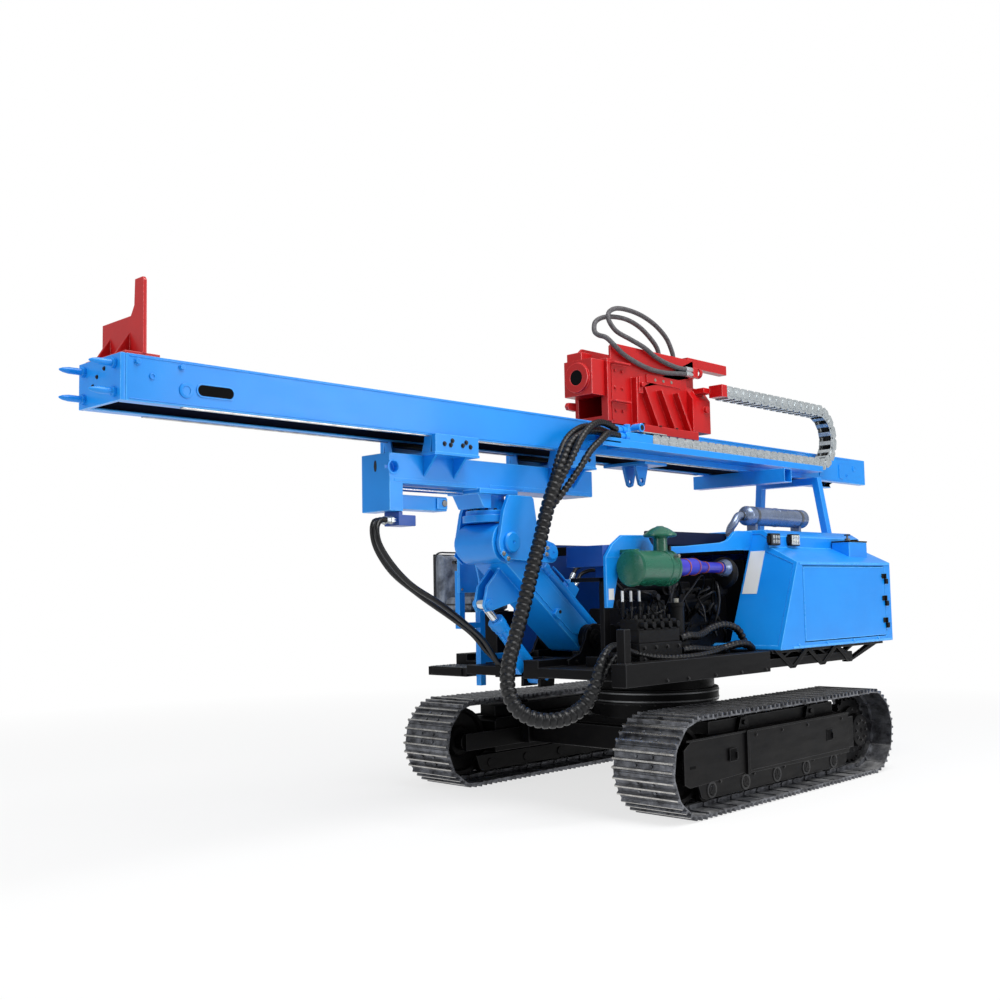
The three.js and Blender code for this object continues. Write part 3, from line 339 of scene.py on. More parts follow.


# %% [markdown]
# Sprayed gloss paint in three colours, each with a lighter, more rubbed finish for its rounded edges; the lighter
# colour is a painted highlight where the edges catch the light.

# %% Mix the paints
BLUE, BLUE_DEEP = colour(10, 142, 234), colour(5, 116, 212)
RED, RED_DEEP = colour(186, 8, 12), colour(146, 5, 9)
GREEN, GREEN_DEEP = colour(22, 96, 74), colour(12, 74, 58)
BLACK, BLACK_DEEP = colour(13, 13, 15), colour(7, 7, 8)
paint = {
    "blue": finish("blue_gloss", BLUE, BLUE_DEEP, 0.38, coat=0.16, shine=0.4, dust=(0.05, 0.03), rub=(0.08, 14)),
    "blue_edge": finish("blue_gloss_edge_highlight", colour(70, 172, 246), BLUE, 0.34, coat=0.2, clouds=(22, 0.6),
                        dust=(0.05, 0.03)),
    # The blue paint in painted shade: a darker copy for faces that stand in shadow.
    "shade_blue": finish("blue_gloss_in_painted_shade", colour(12, 72, 158), colour(6, 48, 120), 0.42, coat=0.12,
                        dust=(0.05, 0.03)),
    # A dark navy used as painted shade inside the mast's channel, in the bay and on the cabinet.
    "shade_navy": finish("navy_painted_shade", colour(10, 24, 58), colour(5, 12, 34), 0.6, shine=0.2, dust=(0.05, 0.02)),
    # A near-black used as painted shade in recesses, holes, gaps and under the hood top; some bay pipes take it too.
    "shade_black": finish("black_painted_shade", colour(5, 5, 6), colour(2, 2, 3), 0.8, shine=0.1, dust=(0.02, 0.0)),
    "red": finish("red_gloss", RED, RED_DEEP, 0.36, coat=0.18, shine=0.4, dust=(0.05, 0.02), rub=(0.08, 14)),
    "red_edge": finish("red_gloss_edge_highlight", colour(214, 52, 54), RED, 0.32, coat=0.25, clouds=(24, 0.6)),
    "green": finish("green_gloss", GREEN, GREEN_DEEP, 0.32, coat=0.3, clouds=(6, 0.3)),
    "green_edge": finish("green_gloss_edge_highlight", colour(48, 124, 100), GREEN, 0.3, coat=0.3, clouds=(22, 0.6)),
    "black": finish("chassis_black_paint", BLACK, BLACK_DEEP, 0.46, shine=0.1, dust=(0.04, 0.02),
                    grain=(90, 0.3, 0.03)),
    "black_edge": finish("chassis_black_edge_highlight", colour(34, 35, 38), BLACK, 0.4, shine=0.25, clouds=(26, 0.7),
                         dust=(0.1, 0.05)),
    "cast": finish("black_cast_iron", colour(13, 13, 15), colour(6, 6, 8), 0.5, shine=0.16, dust=(0.05, 0.02),
                   grain=(260, 1.0, 0.08)),
}
print("paints", sorted(paint))

# %% [markdown]
# Bare metals, rubber and the rest. Track steel is dark and dusty, with bright worn grouser tips, and its faces that
# look up are pale grey, partly dust and partly a painted highlight of the light from above; the drag chain is zinc
# plated; hydraulic rods are hard chrome.

# %% Mix the metals and the rubbers
DRY_EARTH = colour(166, 160, 152)
paint.update({
    # Track shoes: pale grey at full strength on faces that look up, partly dust and partly a painted highlight from
    # above.
    "shoe": finish("track_shoe_steel", colour(122, 124, 130), colour(32, 32, 36), 0.36, metallic=0.7,
                   clouds=(15, 1.0), dust=(1.0, 0.02), dust_and_sheen_tone=colour(192, 192, 192), grain=(120, 0.8, 0.06)),
    "worn": finish("worn_track_steel", colour(206, 204, 200), colour(120, 116, 112), 0.28, metallic=0.8,
                   clouds=(16, 0.7), dust=(0.1, 0.1), dust_and_sheen_tone=DRY_EARTH),
    "zinc": finish("zinc_plate", colour(206, 212, 214), colour(140, 148, 152), 0.3, metallic=0.6,
                   clouds=(26, 0.55), dust=(0.12, 0.0), rub=(0.25, 30)),
    "chrome": finish("hard_chrome", colour(226, 230, 234), colour(200, 206, 212), 0.12, metallic=1.0,
                     clouds=(8, 0.2), dust=(0.03, 0.0), rub=(0.06, 40)),
    "pin": finish("turned_pin_steel", colour(120, 122, 124), colour(72, 72, 74), 0.36, metallic=0.8,
                  clouds=(14, 0.5)),
    "bolt": finish("plated_bolt", colour(176, 174, 164), colour(110, 106, 98), 0.36, metallic=0.8, clouds=(30, 0.5)),
    "dark_bolt": finish("black_oxide_bolt", colour(44, 44, 46), colour(24, 24, 26), 0.45, metallic=0.6,
                        clouds=(30, 0.5)),
    "rubber": finish("hose_rubber_black", colour(14, 15, 18), colour(7, 7, 9), 0.36, shine=0.35, dust=(0.06, 0.02),
                     grain=(300, 0.6, 0.05)),
    "braid": finish("braided_hose_grey", colour(92, 90, 94), colour(40, 38, 40), 0.5, clouds=(60, 0.7),
                    dust=(0.15, 0.0), grain=(420, 1.2, 0.12)),
    "intake": finish("violet_silicone", colour(52, 48, 188), colour(36, 30, 150), 0.36, coat=0.2, clouds=(8, 0.4)),
    "muffler": finish("muffler_sheet", colour(132, 146, 172), colour(84, 96, 118), 0.3, metallic=0.55,
                      clouds=(5, 0.6), dust=(0.25, 0.0)),
    "cover": finish("seat_vinyl_grey", colour(142, 150, 162), colour(44, 48, 56), 0.42, clouds=(12, 1.0),
                    dust=(0.1, 0.0), grain=(420, 1.0, 0.1)),
    "seat_black": finish("seat_edge_black", colour(30, 31, 34), colour(18, 18, 20), 0.6, grain=(420, 1.0, 0.1)),
    "clamp": finish("orange_clamp_band", colour(196, 104, 58), colour(150, 76, 40), 0.4, metallic=0.3,
                    clouds=(30, 0.5)),
    "tread": finish("tread_plate_grey", colour(104, 112, 122), colour(70, 76, 84), 0.42, metallic=0.5,
                    clouds=(12, 0.6), dust=(0.2, 0.0)),
    "smoked": finish("smoked_lens", colour(70, 76, 84), colour(40, 44, 50), 0.12, coat=0.6),
    "white": finish("blank_plate_white", colour(226, 228, 228), colour(205, 207, 208), 0.4, dust=(0.1, 0.0)),
    "lens": finish("frosted_lens", colour(214, 216, 208), colour(180, 184, 180), 0.15, coat=0.6, clouds=(60, 0.4)),
})
print("finishes", len(paint))

# %% [markdown]
# ## Workshop helpers
# The operators act on what is selected, so each helper first clears the selection. A piece is shaped
# where it belongs, and its place is then applied, so that its object sits at the origin, unturned.

# %% Selection, modifiers and joining
def clear():
    """Object mode with nothing selected."""
    if bpy.context.object and bpy.context.object.mode != "OBJECT":
        bpy.ops.object.mode_set(mode="OBJECT")
    bpy.ops.object.select_all(action="DESELECT")


def pick(piece):
    """Only this piece is selected and active."""
    clear()
    piece.select_set(True)
    bpy.context.view_layer.objects.active = piece
    return piece


def settle(piece):
    """The piece's place and turn go into its mesh."""
    pick(piece)
    bpy.ops.object.transform_apply(location=True, rotation=True, scale=True)
    return piece


def applied(piece, kind, **settings):
    """A modifier is added with its settings and applied."""
    pick(piece)
    modifier = piece.modifiers.new(kind, kind)
    for name, value in settings.items():
        setattr(modifier, name, value)
    bpy.ops.object.modifier_apply(modifier=modifier.name)
    return piece


def coated(piece, look, edges=True):
    """The piece's finish, and in the next slot the finish of its rounded edges, lighter as a painted highlight."""
    piece.data.materials.clear()
    piece.data.materials.append(paint[look])
    if edges and look + "_edge" in paint:
        piece.data.materials.append(paint[look + "_edge"])
    return piece


def eased(piece, width, segments=2, corner=38):
    """Sharp edges are rounded. Where the piece has an edge finish, a painted highlight, the rounding takes it."""
    if not width:
        return piece
    slots = len(piece.data.materials)
    return applied(piece, "BEVEL", width=width, segments=segments, limit_method="ANGLE",
                   angle_limit=math.radians(corner), use_clamp_overlap=False, material=1 if slots > 1 else -1)


def joined(parts):
    """Several parts become one piece."""
    clear()
    for part in parts:
        part.select_set(True)
    bpy.context.view_layer.objects.active = parts[0]
    if len(parts) > 1:
        bpy.ops.object.join()
    return bpy.context.view_layer.objects.active


def placed(piece, name, body, slot, *stands_for, smooth=38):
    """The finished piece gets its name, its shading, the body it rides on and the nodes it stands for.
    A list of parts is joined first."""
    if isinstance(piece, list):
        piece = joined(piece)
    piece.name = name
    piece.data.name = name
    if piece.type == "MESH":
        pick(piece)
        bpy.ops.object.shade_smooth_by_angle(angle=math.radians(smooth))
        applied(piece, "WEIGHTED_NORMAL", keep_sharp=True)
    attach(piece, body)
    if stands_for:
        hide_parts(*stands_for)
    return piece


# %% [markdown]
# Basic stock: bar, round bar, plate and pipe. Each is a primitive that is scaled or reshaped at its
# place and then gets rounded edges, because no real edge is perfectly sharp.

# %% Stock shapes
AXES = {"x": Vector((1, 0, 0)), "y": Vector((0, 1, 0)), "z": Vector((0, 0, 1))}
DECK_Z = 0.8736                  # what stands on the deck starts just above its plate


def turns(count):
    """Angles spread evenly round a circle."""
    return [math.tau * k / count for k in range(count)]


def aimed(piece, spot, way, side="X"):
    """A piece made along Z is turned to point a way and moved to a spot."""
    turn = Vector(way).to_track_quat("Z", side).to_matrix().to_4x4()
    piece.data.transform(Matrix.Translation(spot) @ turn)
    return piece


def bar(x, y, z, look, edge=0.003):
    """A square bar; x, y and z are its (low, high) on each axis."""
    low, high = Vector((x[0], y[0], z[0])), Vector((x[1], y[1], z[1]))
    clear()
    bpy.ops.mesh.primitive_cube_add(size=1, location=(low + high) / 2, scale=high - low)
    return eased(coated(settle(bpy.context.object), look), edge)


def rod(axis, radius, low, high, at, look, sides=24, edge=0.002):
    """A round bar along an axis; at gives its other two coordinates."""
    middle = list(at)
    middle.insert("xyz".index(axis), (low + high) / 2)
    clear()
    turn = {"x": (0, math.pi / 2, 0), "y": (math.pi / 2, 0, 0), "z": (0, 0, 0)}[axis]
    bpy.ops.mesh.primitive_cylinder_add(vertices=sides, radius=radius, depth=high - low, location=middle,
                                        rotation=turn)
    return eased(coated(settle(bpy.context.object), look), edge, segments=1, corner=50)


def plate(outline, axis, low, high, look, edge=0.002):
    """A plate of any outline: a filled circle whose corners are moved to the outline, then extruded."""
    clear()
    bpy.ops.mesh.primitive_circle_add(vertices=len(outline), fill_type="NGON")
    piece = bpy.context.object
    for corner, point in zip(piece.data.vertices, outline):
        place = list(point)
        place.insert("xyz".index(axis), low)
        corner.co = place
    bpy.ops.object.mode_set(mode="EDIT")
    bpy.ops.mesh.select_all(action="SELECT")
    bpy.ops.mesh.extrude_region_move(TRANSFORM_OT_translate={"value": AXES[axis] * (high - low)})
    bpy.ops.mesh.select_all(action="SELECT")
    bpy.ops.mesh.normals_make_consistent(inside=False)
    bpy.ops.object.mode_set(mode="OBJECT")
    coated(piece, look)
    return eased(piece, edge, corner=50) if edge else piece


def lathe(profile, axis, at, look, steps=28):
    """A turned shape: profile rows are (along the axis, radius), spun all the way round."""
    clear()
    bpy.ops.mesh.primitive_circle_add(vertices=len(profile), fill_type="NOTHING")
    piece = bpy.context.object
    centre = list(at)
    centre.insert("xyz".index(axis), 0)
    sideways = AXES["z" if axis != "z" else "x"]
    for corner, (along, radius) in zip(piece.data.vertices, profile):
        corner.co = AXES[axis] * along + sideways * radius + Vector(centre)
    bpy.ops.object.mode_set(mode="EDIT")
    bpy.ops.mesh.select_all(action="SELECT")
    bpy.ops.mesh.spin(steps=steps, angle=2 * math.pi, center=centre, axis=AXES[axis], use_auto_merge=True)
    bpy.ops.mesh.select_all(action="SELECT")
    bpy.ops.mesh.remove_doubles(threshold=0.00005)
    bpy.ops.mesh.normals_make_consistent(inside=False)
    bpy.ops.object.mode_set(mode="OBJECT")
    return coated(piece, look, edges=False)


def smooth_line(points, spacing):
    """Points an even distance apart on one smooth curve through the given ones."""
    spots = [Vector(p) for p in points]
    spots = [spots[0] * 2 - spots[1], *spots, spots[-1] * 2 - spots[-2]]
    fine = []
    for a, b, c, d in zip(spots, spots[1:], spots[2:], spots[3:]):
        knots = [0.0]
        for p, q in ((a, b), (b, c), (c, d)):
            knots.append(knots[-1] + max((q - p).length, 1e-6) ** 0.5)
        for step in range(24):
            t = knots[1] + (knots[2] - knots[1]) * step / 24
            def mix(p, q, low, high):
                return p * ((high - t) / (high - low)) + q * ((t - low) / (high - low))
            ab, bc, cd = mix(a, b, *knots[0:2]), mix(b, c, *knots[1:3]), mix(c, d, *knots[2:4])
            fine.append(mix(mix(ab, bc, knots[0], knots[2]), mix(bc, cd, knots[1], knots[3]), *knots[1:3]))
    fine.append(spots[-2])
    total = sum((q - p).length for p, q in zip(fine, fine[1:]))
    count = max(2, round(total / spacing))
    line, travelled, goal = [fine[0]], 0.0, total / count
    for p, q in zip(fine, fine[1:]):
        step = (q - p).length
        while step and travelled + step >= goal * len(line) - 1e-9 and len(line) < count:
            line.append(p.lerp(q, (goal * len(line) - travelled) / step))
        travelled += step
    line.append(fine[-1])
    return line


def line_length(line):
    """The length of a line of points."""
    return sum((q - p).length for p, q in zip(line, line[1:]))


def hose_curve(name, line, diameter, look, radii=None, sides=8):
    """A curve of one open spline with a round section; radii scale it at each point."""
    data = bpy.data.curves.new(name, "CURVE")
    data.dimensions = "3D"
    data.bevel_depth = diameter / 2
    data.bevel_resolution = sides // 2
    data.use_fill_caps = True
    spline = data.splines.new("POLY")
    spline.points.add(len(line) - 1)
    for index, spot in enumerate(line):
        spline.points[index].co = (*spot, 1)
        spline.points[index].radius = radii[index] if radii else 1.0
    data.materials.append(paint[look])
    for part in data.splines:
        part.use_smooth = True
    made = bpy.data.objects.new(name, data)
    scene.collection.objects.link(made)
    return made


def pipe(points, diameter, look, spacing=0.03, sides=8):
    """A bent pipe or fixed hose as a mesh."""
    made = hose_curve("pipe", smooth_line(points, spacing), diameter, look, sides=sides)
    pick(made)
    bpy.ops.object.convert(target="MESH")
    return bpy.context.object


def stamped(master, places):
    """The master is copied to each place, a matrix, each copy with its own mesh, and then joined."""
    made = []
    for place in places:
        mesh = master.data.copy()
        mesh.transform(place)
        copy = bpy.data.objects.new(master.name, mesh)
        scene.collection.objects.link(copy)
        made.append(copy)
    bpy.data.objects.remove(master)
    return joined(made)


def copies(master, places):
    """The master stands on the ground plane and points up; each copy goes to a (spot, direction)."""
    return stamped(master, [
        Matrix.Translation(spot) @ Vector(direction).to_track_quat("Z", "Y").to_matrix().to_4x4()
        for spot, direction in places])


def bolt(size, look="bolt"):
    """A hexagon bolt head on its washer; size is its radius."""
    head = rod("z", size, size * 0.2, size * 0.9, (0, 0), look, sides=6, edge=size * 0.12)
    washer = rod("z", size * 1.35, 0, size * 0.22, (0, 0), look, sides=16, edge=size * 0.05)
    return joined([head, washer])


def refined(node_name, look, edge=0.003, segments=2):
    """A copy of a measured solid, with its flat faces made whole and its edges rounded."""
    pick(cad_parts[node_name])
    bpy.ops.object.duplicate()
    piece = bpy.context.object
    for key in [k for k in piece.keys() if k.startswith("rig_")]:
        del piece[key]
    piece.parent = None
    piece.matrix_world = Matrix.Identity(4)
    bpy.ops.object.mode_set(mode="EDIT")
    bpy.ops.mesh.select_all(action="SELECT")
    bpy.ops.mesh.remove_doubles(threshold=0.00002)
    bpy.ops.mesh.dissolve_limited(angle_limit=math.radians(0.6))
    bpy.ops.object.mode_set(mode="OBJECT")
    if "custom_normal" in piece.data.attributes:
        piece.data.attributes.remove(piece.data.attributes["custom_normal"])
    coated(piece, look)
    return eased(piece, edge, segments) if edge else piece


print("helpers ready")

# %% [markdown]
# ## The free hoses
# Five hoses hang between parts that move. Each is a fixed length of something flexible, so each keeps
# the route of its measured solid. The fat black conduit is corrugated: on the real one a wall
# of rings lets it bend, so its radius swells and shrinks along the curve.

# %% Lay the conduit
CONDUIT_ROUTE = [
    (0.290, -0.0753, 2.392), (0.290, -0.170, 2.392), (0.310, -0.260, 2.396), (0.335, -0.420, 2.376),
    (0.370, -0.600, 2.290), (0.382, -0.700, 2.160), (0.378, -0.780, 2.010), (0.368, -0.850, 1.840),
    (0.358, -0.905, 1.660), (0.352, -0.970, 1.490), (0.350, -1.045, 1.290), (0.362, -1.140, 1.090),
    (0.390, -1.233, 0.937), (0.430, -1.287, 0.798), (0.490, -1.278, 0.681), (0.560, -1.187, 0.616),
    (0.630, -1.049, 0.612), (0.690, -0.920, 0.680), (0.732, -0.860, 0.800), (0.750, -0.835, 0.905),
    (0.740, -0.760, 0.985), (0.690, -0.640, 1.010), (0.650, -0.540, 1.010), (0.650, -0.4303, 1.010)]
CONDUIT_D = 0.086
RING_STEP = 0.042
ring_shape = [0.86, 1.03, 1.07, 1.08, 1.08, 1.07, 1.03, 0.86]
RING_CUTS = len(ring_shape)
conduit_line = smooth_line(CONDUIT_ROUTE, RING_STEP / RING_CUTS)
conduit_radii = []
for index in range(len(conduit_line)):
    from_top = index * RING_STEP / RING_CUTS
    to_end = (len(conduit_line) - 1 - index) * RING_STEP / RING_CUTS
    gathered = min(1.0, 0.5 + 0.5 * max(0.0, from_top - 0.45) / 0.45, 0.5 + 0.5 * max(0.0, to_end - 0.30) / 0.40)
    conduit_radii.append(ring_shape[index % RING_CUTS] * gathered)
conduit = hose_curve("conduit_hose", conduit_line, CONDUIT_D, "rubber", conduit_radii, sides=12)
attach(conduit, "upper")
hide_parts("conduit")

# %% [markdown]
# Two thinner hoses leave the valve under the slide frame and swing down to the deck, and two
# braided loops stand over the drive head. They are smooth, with a braid in their finish.

# %% Lay the valve hoses and the head hoses
VALVE_ROUTES = {
    "left": [(0.088, -1.9053, 1.772), (0.090, -1.945, 1.768), (0.105, -1.985, 1.730), (0.122, -1.990, 1.650),
             (0.135, -1.925, 1.542), (0.135, -1.774, 1.412), (0.115, -1.525, 1.294), (0.040, -1.256, 1.175),
             (-0.060, -0.993, 1.055), (-0.110, -0.860, 0.960), (-0.120, -0.800, 0.905), (-0.120, -0.7603, 0.893)],
    "right": [(0.028, -1.9053, 1.772), (0.032, -1.940, 1.766), (0.045, -1.968, 1.725), (0.050, -1.955, 1.630),
              (0.052, -1.850, 1.489), (0.030, -1.620, 1.350), (0.000, -1.310, 1.195), (-0.100, -1.040, 1.085),
              (-0.155, -0.880, 0.985), (-0.165, -0.800, 0.930), (-0.165, -0.7603, 0.895)]}
LID = 2.9603
HEAD_ROUTES = {
    "outer": [(0.050, 0.985, LID), (0.050, 0.985, 3.115), (0.048, 0.965, 3.165), (0.040, 0.923, 3.238),
              (0.030, 0.811, 3.318), (0.020, 0.657, 3.372), (0.020, 0.477, 3.389), (0.030, 0.318, 3.371),
              (0.050, 0.216, 3.317), (0.070, 0.191, 3.260), (0.095, 0.234, 3.187), (0.145, 0.345, 3.128),
              (0.174, 0.450, 3.085), (0.174, 0.600, 3.030), (0.174, 0.760, 2.998), (0.172, 0.900, 2.988),
              (0.172, 0.980, 2.991), (0.172, 1.0397, 2.991)],
    "inner": [(0.050, 0.800, LID), (0.050, 0.800, 3.110), (0.048, 0.782, 3.150), (0.040, 0.722, 3.208),
              (0.020, 0.622, 3.281), (0.000, 0.500, 3.322), (-0.010, 0.351, 3.323), (-0.020, 0.234, 3.301),
              (-0.010, 0.135, 3.247), (0.020, 0.090, 3.173), (0.080, 0.062, 3.130), (0.140, 0.066, 3.105),
              (0.176, 0.108, 3.052), (0.176, 0.200, 3.005), (0.174, 0.320, 2.970), (0.172, 0.527, 2.934),
              (0.172, 0.724, 2.932), (0.172, 0.900, 2.948), (0.172, 0.980, 2.954), (0.172, 1.0397, 2.954)]}
for kind, routes, thick, body, look in (("valve", VALVE_ROUTES, 0.032, "upper", "rubber"),
                                        ("head", HEAD_ROUTES, 0.035, "drive_head", "braid")):
    for hand, route in routes.items():
        line = smooth_line(route, 0.02)
        hose = hose_curve(f"{kind}_hose_{hand}_run", line, thick, look, sides=10)
        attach(hose, body)
        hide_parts(f"{kind}_hose_{hand}")
        print(hose.name, "length", round(line_length(line), 3))

# %% [markdown]
# ## Crawler tracks
# A track is an endless chain with a steel shoe bolted to each link. A shoe is a rolled bar with three
# grousers, so its outline is drawn once and extruded across the track, two links are set under it,
# and the whole is copied round the loop of idler and sprocket.

# %% Measure the loop
TRACK_LOW, TRACK_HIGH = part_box("track_left")
AXLE_Z = (TRACK_LOW.z + TRACK_HIGH.z) / 2
IDLER_Y = TRACK_LOW.y + AXLE_Z
SPROCKET_Y = TRACK_HIGH.y - AXLE_Z
TRACK_X = (TRACK_LOW.x + TRACK_HIGH.x) / 2
SHOE_HALF = (TRACK_HIGH.x - TRACK_LOW.x) / 2
GROUSER = 0.022
SHOE_PLATE = 0.009
TIP_ROOM = 0.003                 # a flat shoe's corners reach past the round of the loop
RUN_R = AXLE_Z - GROUSER - SHOE_PLATE - TIP_ROOM
RUN_LENGTH = 2 * (SPROCKET_Y - IDLER_Y) + 2 * math.pi * RUN_R
SHOES = 40
PITCH = RUN_LENGTH / SHOES
print("shoes", SHOES, "pitch", round(PITCH, 4))


def on_loop(distance):
    """The place (y, z) and the outward turn at a distance round the track, from the top over the idler."""
    straight, arc = SPROCKET_Y - IDLER_Y, math.pi * RUN_R
    distance %= RUN_LENGTH
    if distance < straight:
        return IDLER_Y + distance, AXLE_Z + RUN_R, math.pi / 2
    distance -= straight
    if distance < arc:
        turn = math.pi / 2 - distance / RUN_R
        return SPROCKET_Y + RUN_R * math.cos(turn), AXLE_Z + RUN_R * math.sin(turn), turn
    distance -= arc
    if distance < straight:
        return SPROCKET_Y - distance, AXLE_Z - RUN_R, -math.pi / 2
    turn = -math.pi / 2 - (distance - straight) / RUN_R
    return IDLER_Y + RUN_R * math.cos(turn), AXLE_Z + RUN_R * math.sin(turn), turn


# %% [markdown]
# One shoe, lying flat at the origin with its grousers up. Its grouser tips are ground bright by the
# road, so the faces at full height take the worn finish.

# %% Model one shoe
def shoe_master():
    """One shoe with its links and bolts."""
    half, tip, root = PITCH / 2, 0.005, 0.011
    top = SHOE_PLATE + GROUSER
    outline = [(-half + 0.004, 0), (half - 0.012, 0), (half + 0.006, -0.006), (half + 0.008, 0.004)]
    for centre, rise in ((0.052, top - 0.0015), (0.0, top), (-0.052, top - 0.0015)):
        outline += [(centre + root, SHOE_PLATE), (centre + tip, rise), (centre - tip, rise),
                    (centre - root, SHOE_PLATE)]
    outline += [(-half + 0.004, SHOE_PLATE)]
    shoe = plate(outline, "x", -SHOE_HALF, SHOE_HALF, "shoe", edge=0)
    shoe.data.materials.append(paint["worn"])
    for face in shoe.data.polygons:
        if face.normal.z > 0.9 and face.center.z > top - 0.003:
            face.material_index = 1
    parts = [shoe]
    for side in (-1, 1):
        link = plate([(-half * 0.98, -0.029), (half * 0.86, -0.029), (half * 1.06, -0.018), (half * 1.06, -0.006),
                      (half * 0.8, 0), (-half * 0.8, 0), (-half * 0.98, -0.008)],
                     "x", side * 0.058 - 0.016, side * 0.058 + 0.016, "shoe", edge=0)
        pad = rod("x", 0.012, side * 0.058 - 0.024, side * 0.058 + 0.024, (half * 0.92, -0.015), "shoe", sides=8,
                  edge=0.001)
        parts += [link, pad]
    bolts = copies(rod("z", 0.011, 0, 0.009, (0, 0), "shoe", sides=6, edge=0.001),
                   [((side * 0.058, way * 0.026, SHOE_PLATE), (0, 0, 1)) for side in (-1, 1) for way in (-1, 1)])
    return joined(parts + [bolts])


for hand, sign in (("left", 1), ("right", -1)):
    places = []
    for index in range(SHOES):
        y, z, turn = on_loop((index + 0.5) * PITCH)
        places.append(Matrix.Translation((sign * TRACK_X, y, z)) @ Matrix.Rotation(turn - math.pi / 2, 4, "X"))
    belt = placed(stamped(shoe_master(), places), f"crawler_track_{hand}", "undercarriage", "track_steel",
                  f"track_{hand}", smooth=30)
    print(belt.name, len(belt.data.polygons), "faces")

# %% [markdown]
# The idler at the front is a plain wheel with a raised rim and a web with a hub. The sprocket at the back
# is a toothed ring bolted to a gear housing. Both are turned shapes, spun from their section, and the
# teeth are an outline plate.

# %% Turn the idlers and cut the sprockets
WHEEL_R = (AXLE_Z - 0.062) * math.cos(math.pi / 40) - 0.0003
for hand, sign in (("left", 1), ("right", -1)):
    x = sign * TRACK_X
    rim = lathe([(x - 0.055, WHEEL_R - 0.035), (x - 0.055, WHEEL_R - 0.008), (x - 0.03, WHEEL_R - 0.008),
                 (x - 0.022, WHEEL_R),
                 (x + 0.022, WHEEL_R), (x + 0.03, WHEEL_R - 0.008), (x + 0.055, WHEEL_R - 0.008),
                 (x + 0.055, WHEEL_R - 0.035),
                 (x + 0.03, WHEEL_R - 0.045), (x + 0.022, 0.115), (x + 0.05, 0.095), (x + 0.05, 0.062),
                 (x - 0.05, 0.062),
                 (x - 0.05, 0.095), (x - 0.022, 0.115), (x - 0.03, WHEEL_R - 0.045)], "x", (IDLER_Y, AXLE_Z), "black",
                36)
    axle = rod("x", 0.062, x - 0.119, x + 0.119, (IDLER_Y, AXLE_Z), "black")
    cap = rod("x", 0.045, x + sign * 0.118 - 0.006, x + sign * 0.118 + 0.006, (IDLER_Y, AXLE_Z), "black_edge")
    placed([rim, axle, cap], f"idler_wheel_{hand}", "undercarriage", "chassis_black", f"idler_{hand}")

    teeth = 21
    outline = []
    for tooth in range(teeth):
        for part, radius in ((0.0, WHEEL_R - 0.026), (0.28, WHEEL_R - 0.024), (0.42, WHEEL_R), (0.68, WHEEL_R),
                             (0.82, WHEEL_R - 0.024)):
            turn = 2 * math.pi * (tooth + part) / teeth
            outline.append((SPROCKET_Y + radius * math.cos(turn), AXLE_Z + radius * math.sin(turn)))
    ring = plate(outline, "x", x - 0.025, x + 0.025, "black", edge=0.002)
    housing = lathe([(x - sign * 0.118, 0.118), (x + sign * 0.03, 0.165), (x + sign * 0.05, 0.165),
                     (x + sign * 0.06, 0.12),
                     (x + sign * 0.112, 0.112), (x + sign * 0.119, 0.095), (x + sign * 0.119, 0.02),
                     (x + sign * 0.10, 0.001), (x - sign * 0.118, 0.001)],
                    "x", (SPROCKET_Y, AXLE_Z), "black", 32)
    around = [(SPROCKET_Y + r * math.cos(a), AXLE_Z + r * math.sin(a)) for r, n in ((0.145, 12), (0.07, 8))
              for a in turns(n)]
    studs = copies(bolt(0.011, "dark_bolt"), [((x + sign * (0.048 if k < 12 else 0.119), y, z), (sign, 0, 0))
                                             for k, (y, z) in enumerate(around)])
    placed([ring, housing, studs], f"sprocket_wheel_{hand}", "undercarriage", "chassis_black", f"sprocket_{hand}")
print("wheels made")

# %% [markdown]
# ## The drag chain
# The chain that carries hoses beside the mast is made of zinc-plated side plates with cross bars. One
# link is an outline plate with a pressed panel and two pins, copied along the loop.

# %% Model one chain link and copy it along the loop
CHAIN_LOW, CHAIN_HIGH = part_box("drag_chain")
CHAIN_BAND = 0.096
CHAIN_R = (CHAIN_HIGH.z - CHAIN_LOW.z - CHAIN_BAND) / 2
CHAIN_Z = CHAIN_LOW.z + CHAIN_BAND / 2
CHAIN_BEND_Y = CHAIN_HIGH.y - CHAIN_R - CHAIN_BAND / 2
CHAIN_START, CHAIN_END = 0.285, 1.235
CHAIN_X = (CHAIN_LOW.x + CHAIN_HIGH.x) / 2
CHAIN_HALF = (CHAIN_HIGH.x - CHAIN_LOW.x) / 2
chain_length = (CHAIN_BEND_Y - CHAIN_START) + math.pi * CHAIN_R + (CHAIN_BEND_Y - CHAIN_END)
LINKS = 46
LINK = chain_length / LINKS


def on_chain(distance):
    """The place (y, z) and the turn at a distance along the chain, from its fixed end."""
    straight = CHAIN_BEND_Y - CHAIN_START
    if distance < straight:
        return CHAIN_START + distance, CHAIN_Z, 0.0
    distance -= straight
    if distance < math.pi * CHAIN_R:
        turn = distance / CHAIN_R
        return (CHAIN_BEND_Y + CHAIN_R * math.sin(turn), CHAIN_Z + CHAIN_R * (1 - math.cos(turn)), turn)
    return CHAIN_BEND_Y - (distance - math.pi * CHAIN_R), CHAIN_Z + 2 * CHAIN_R, math.pi


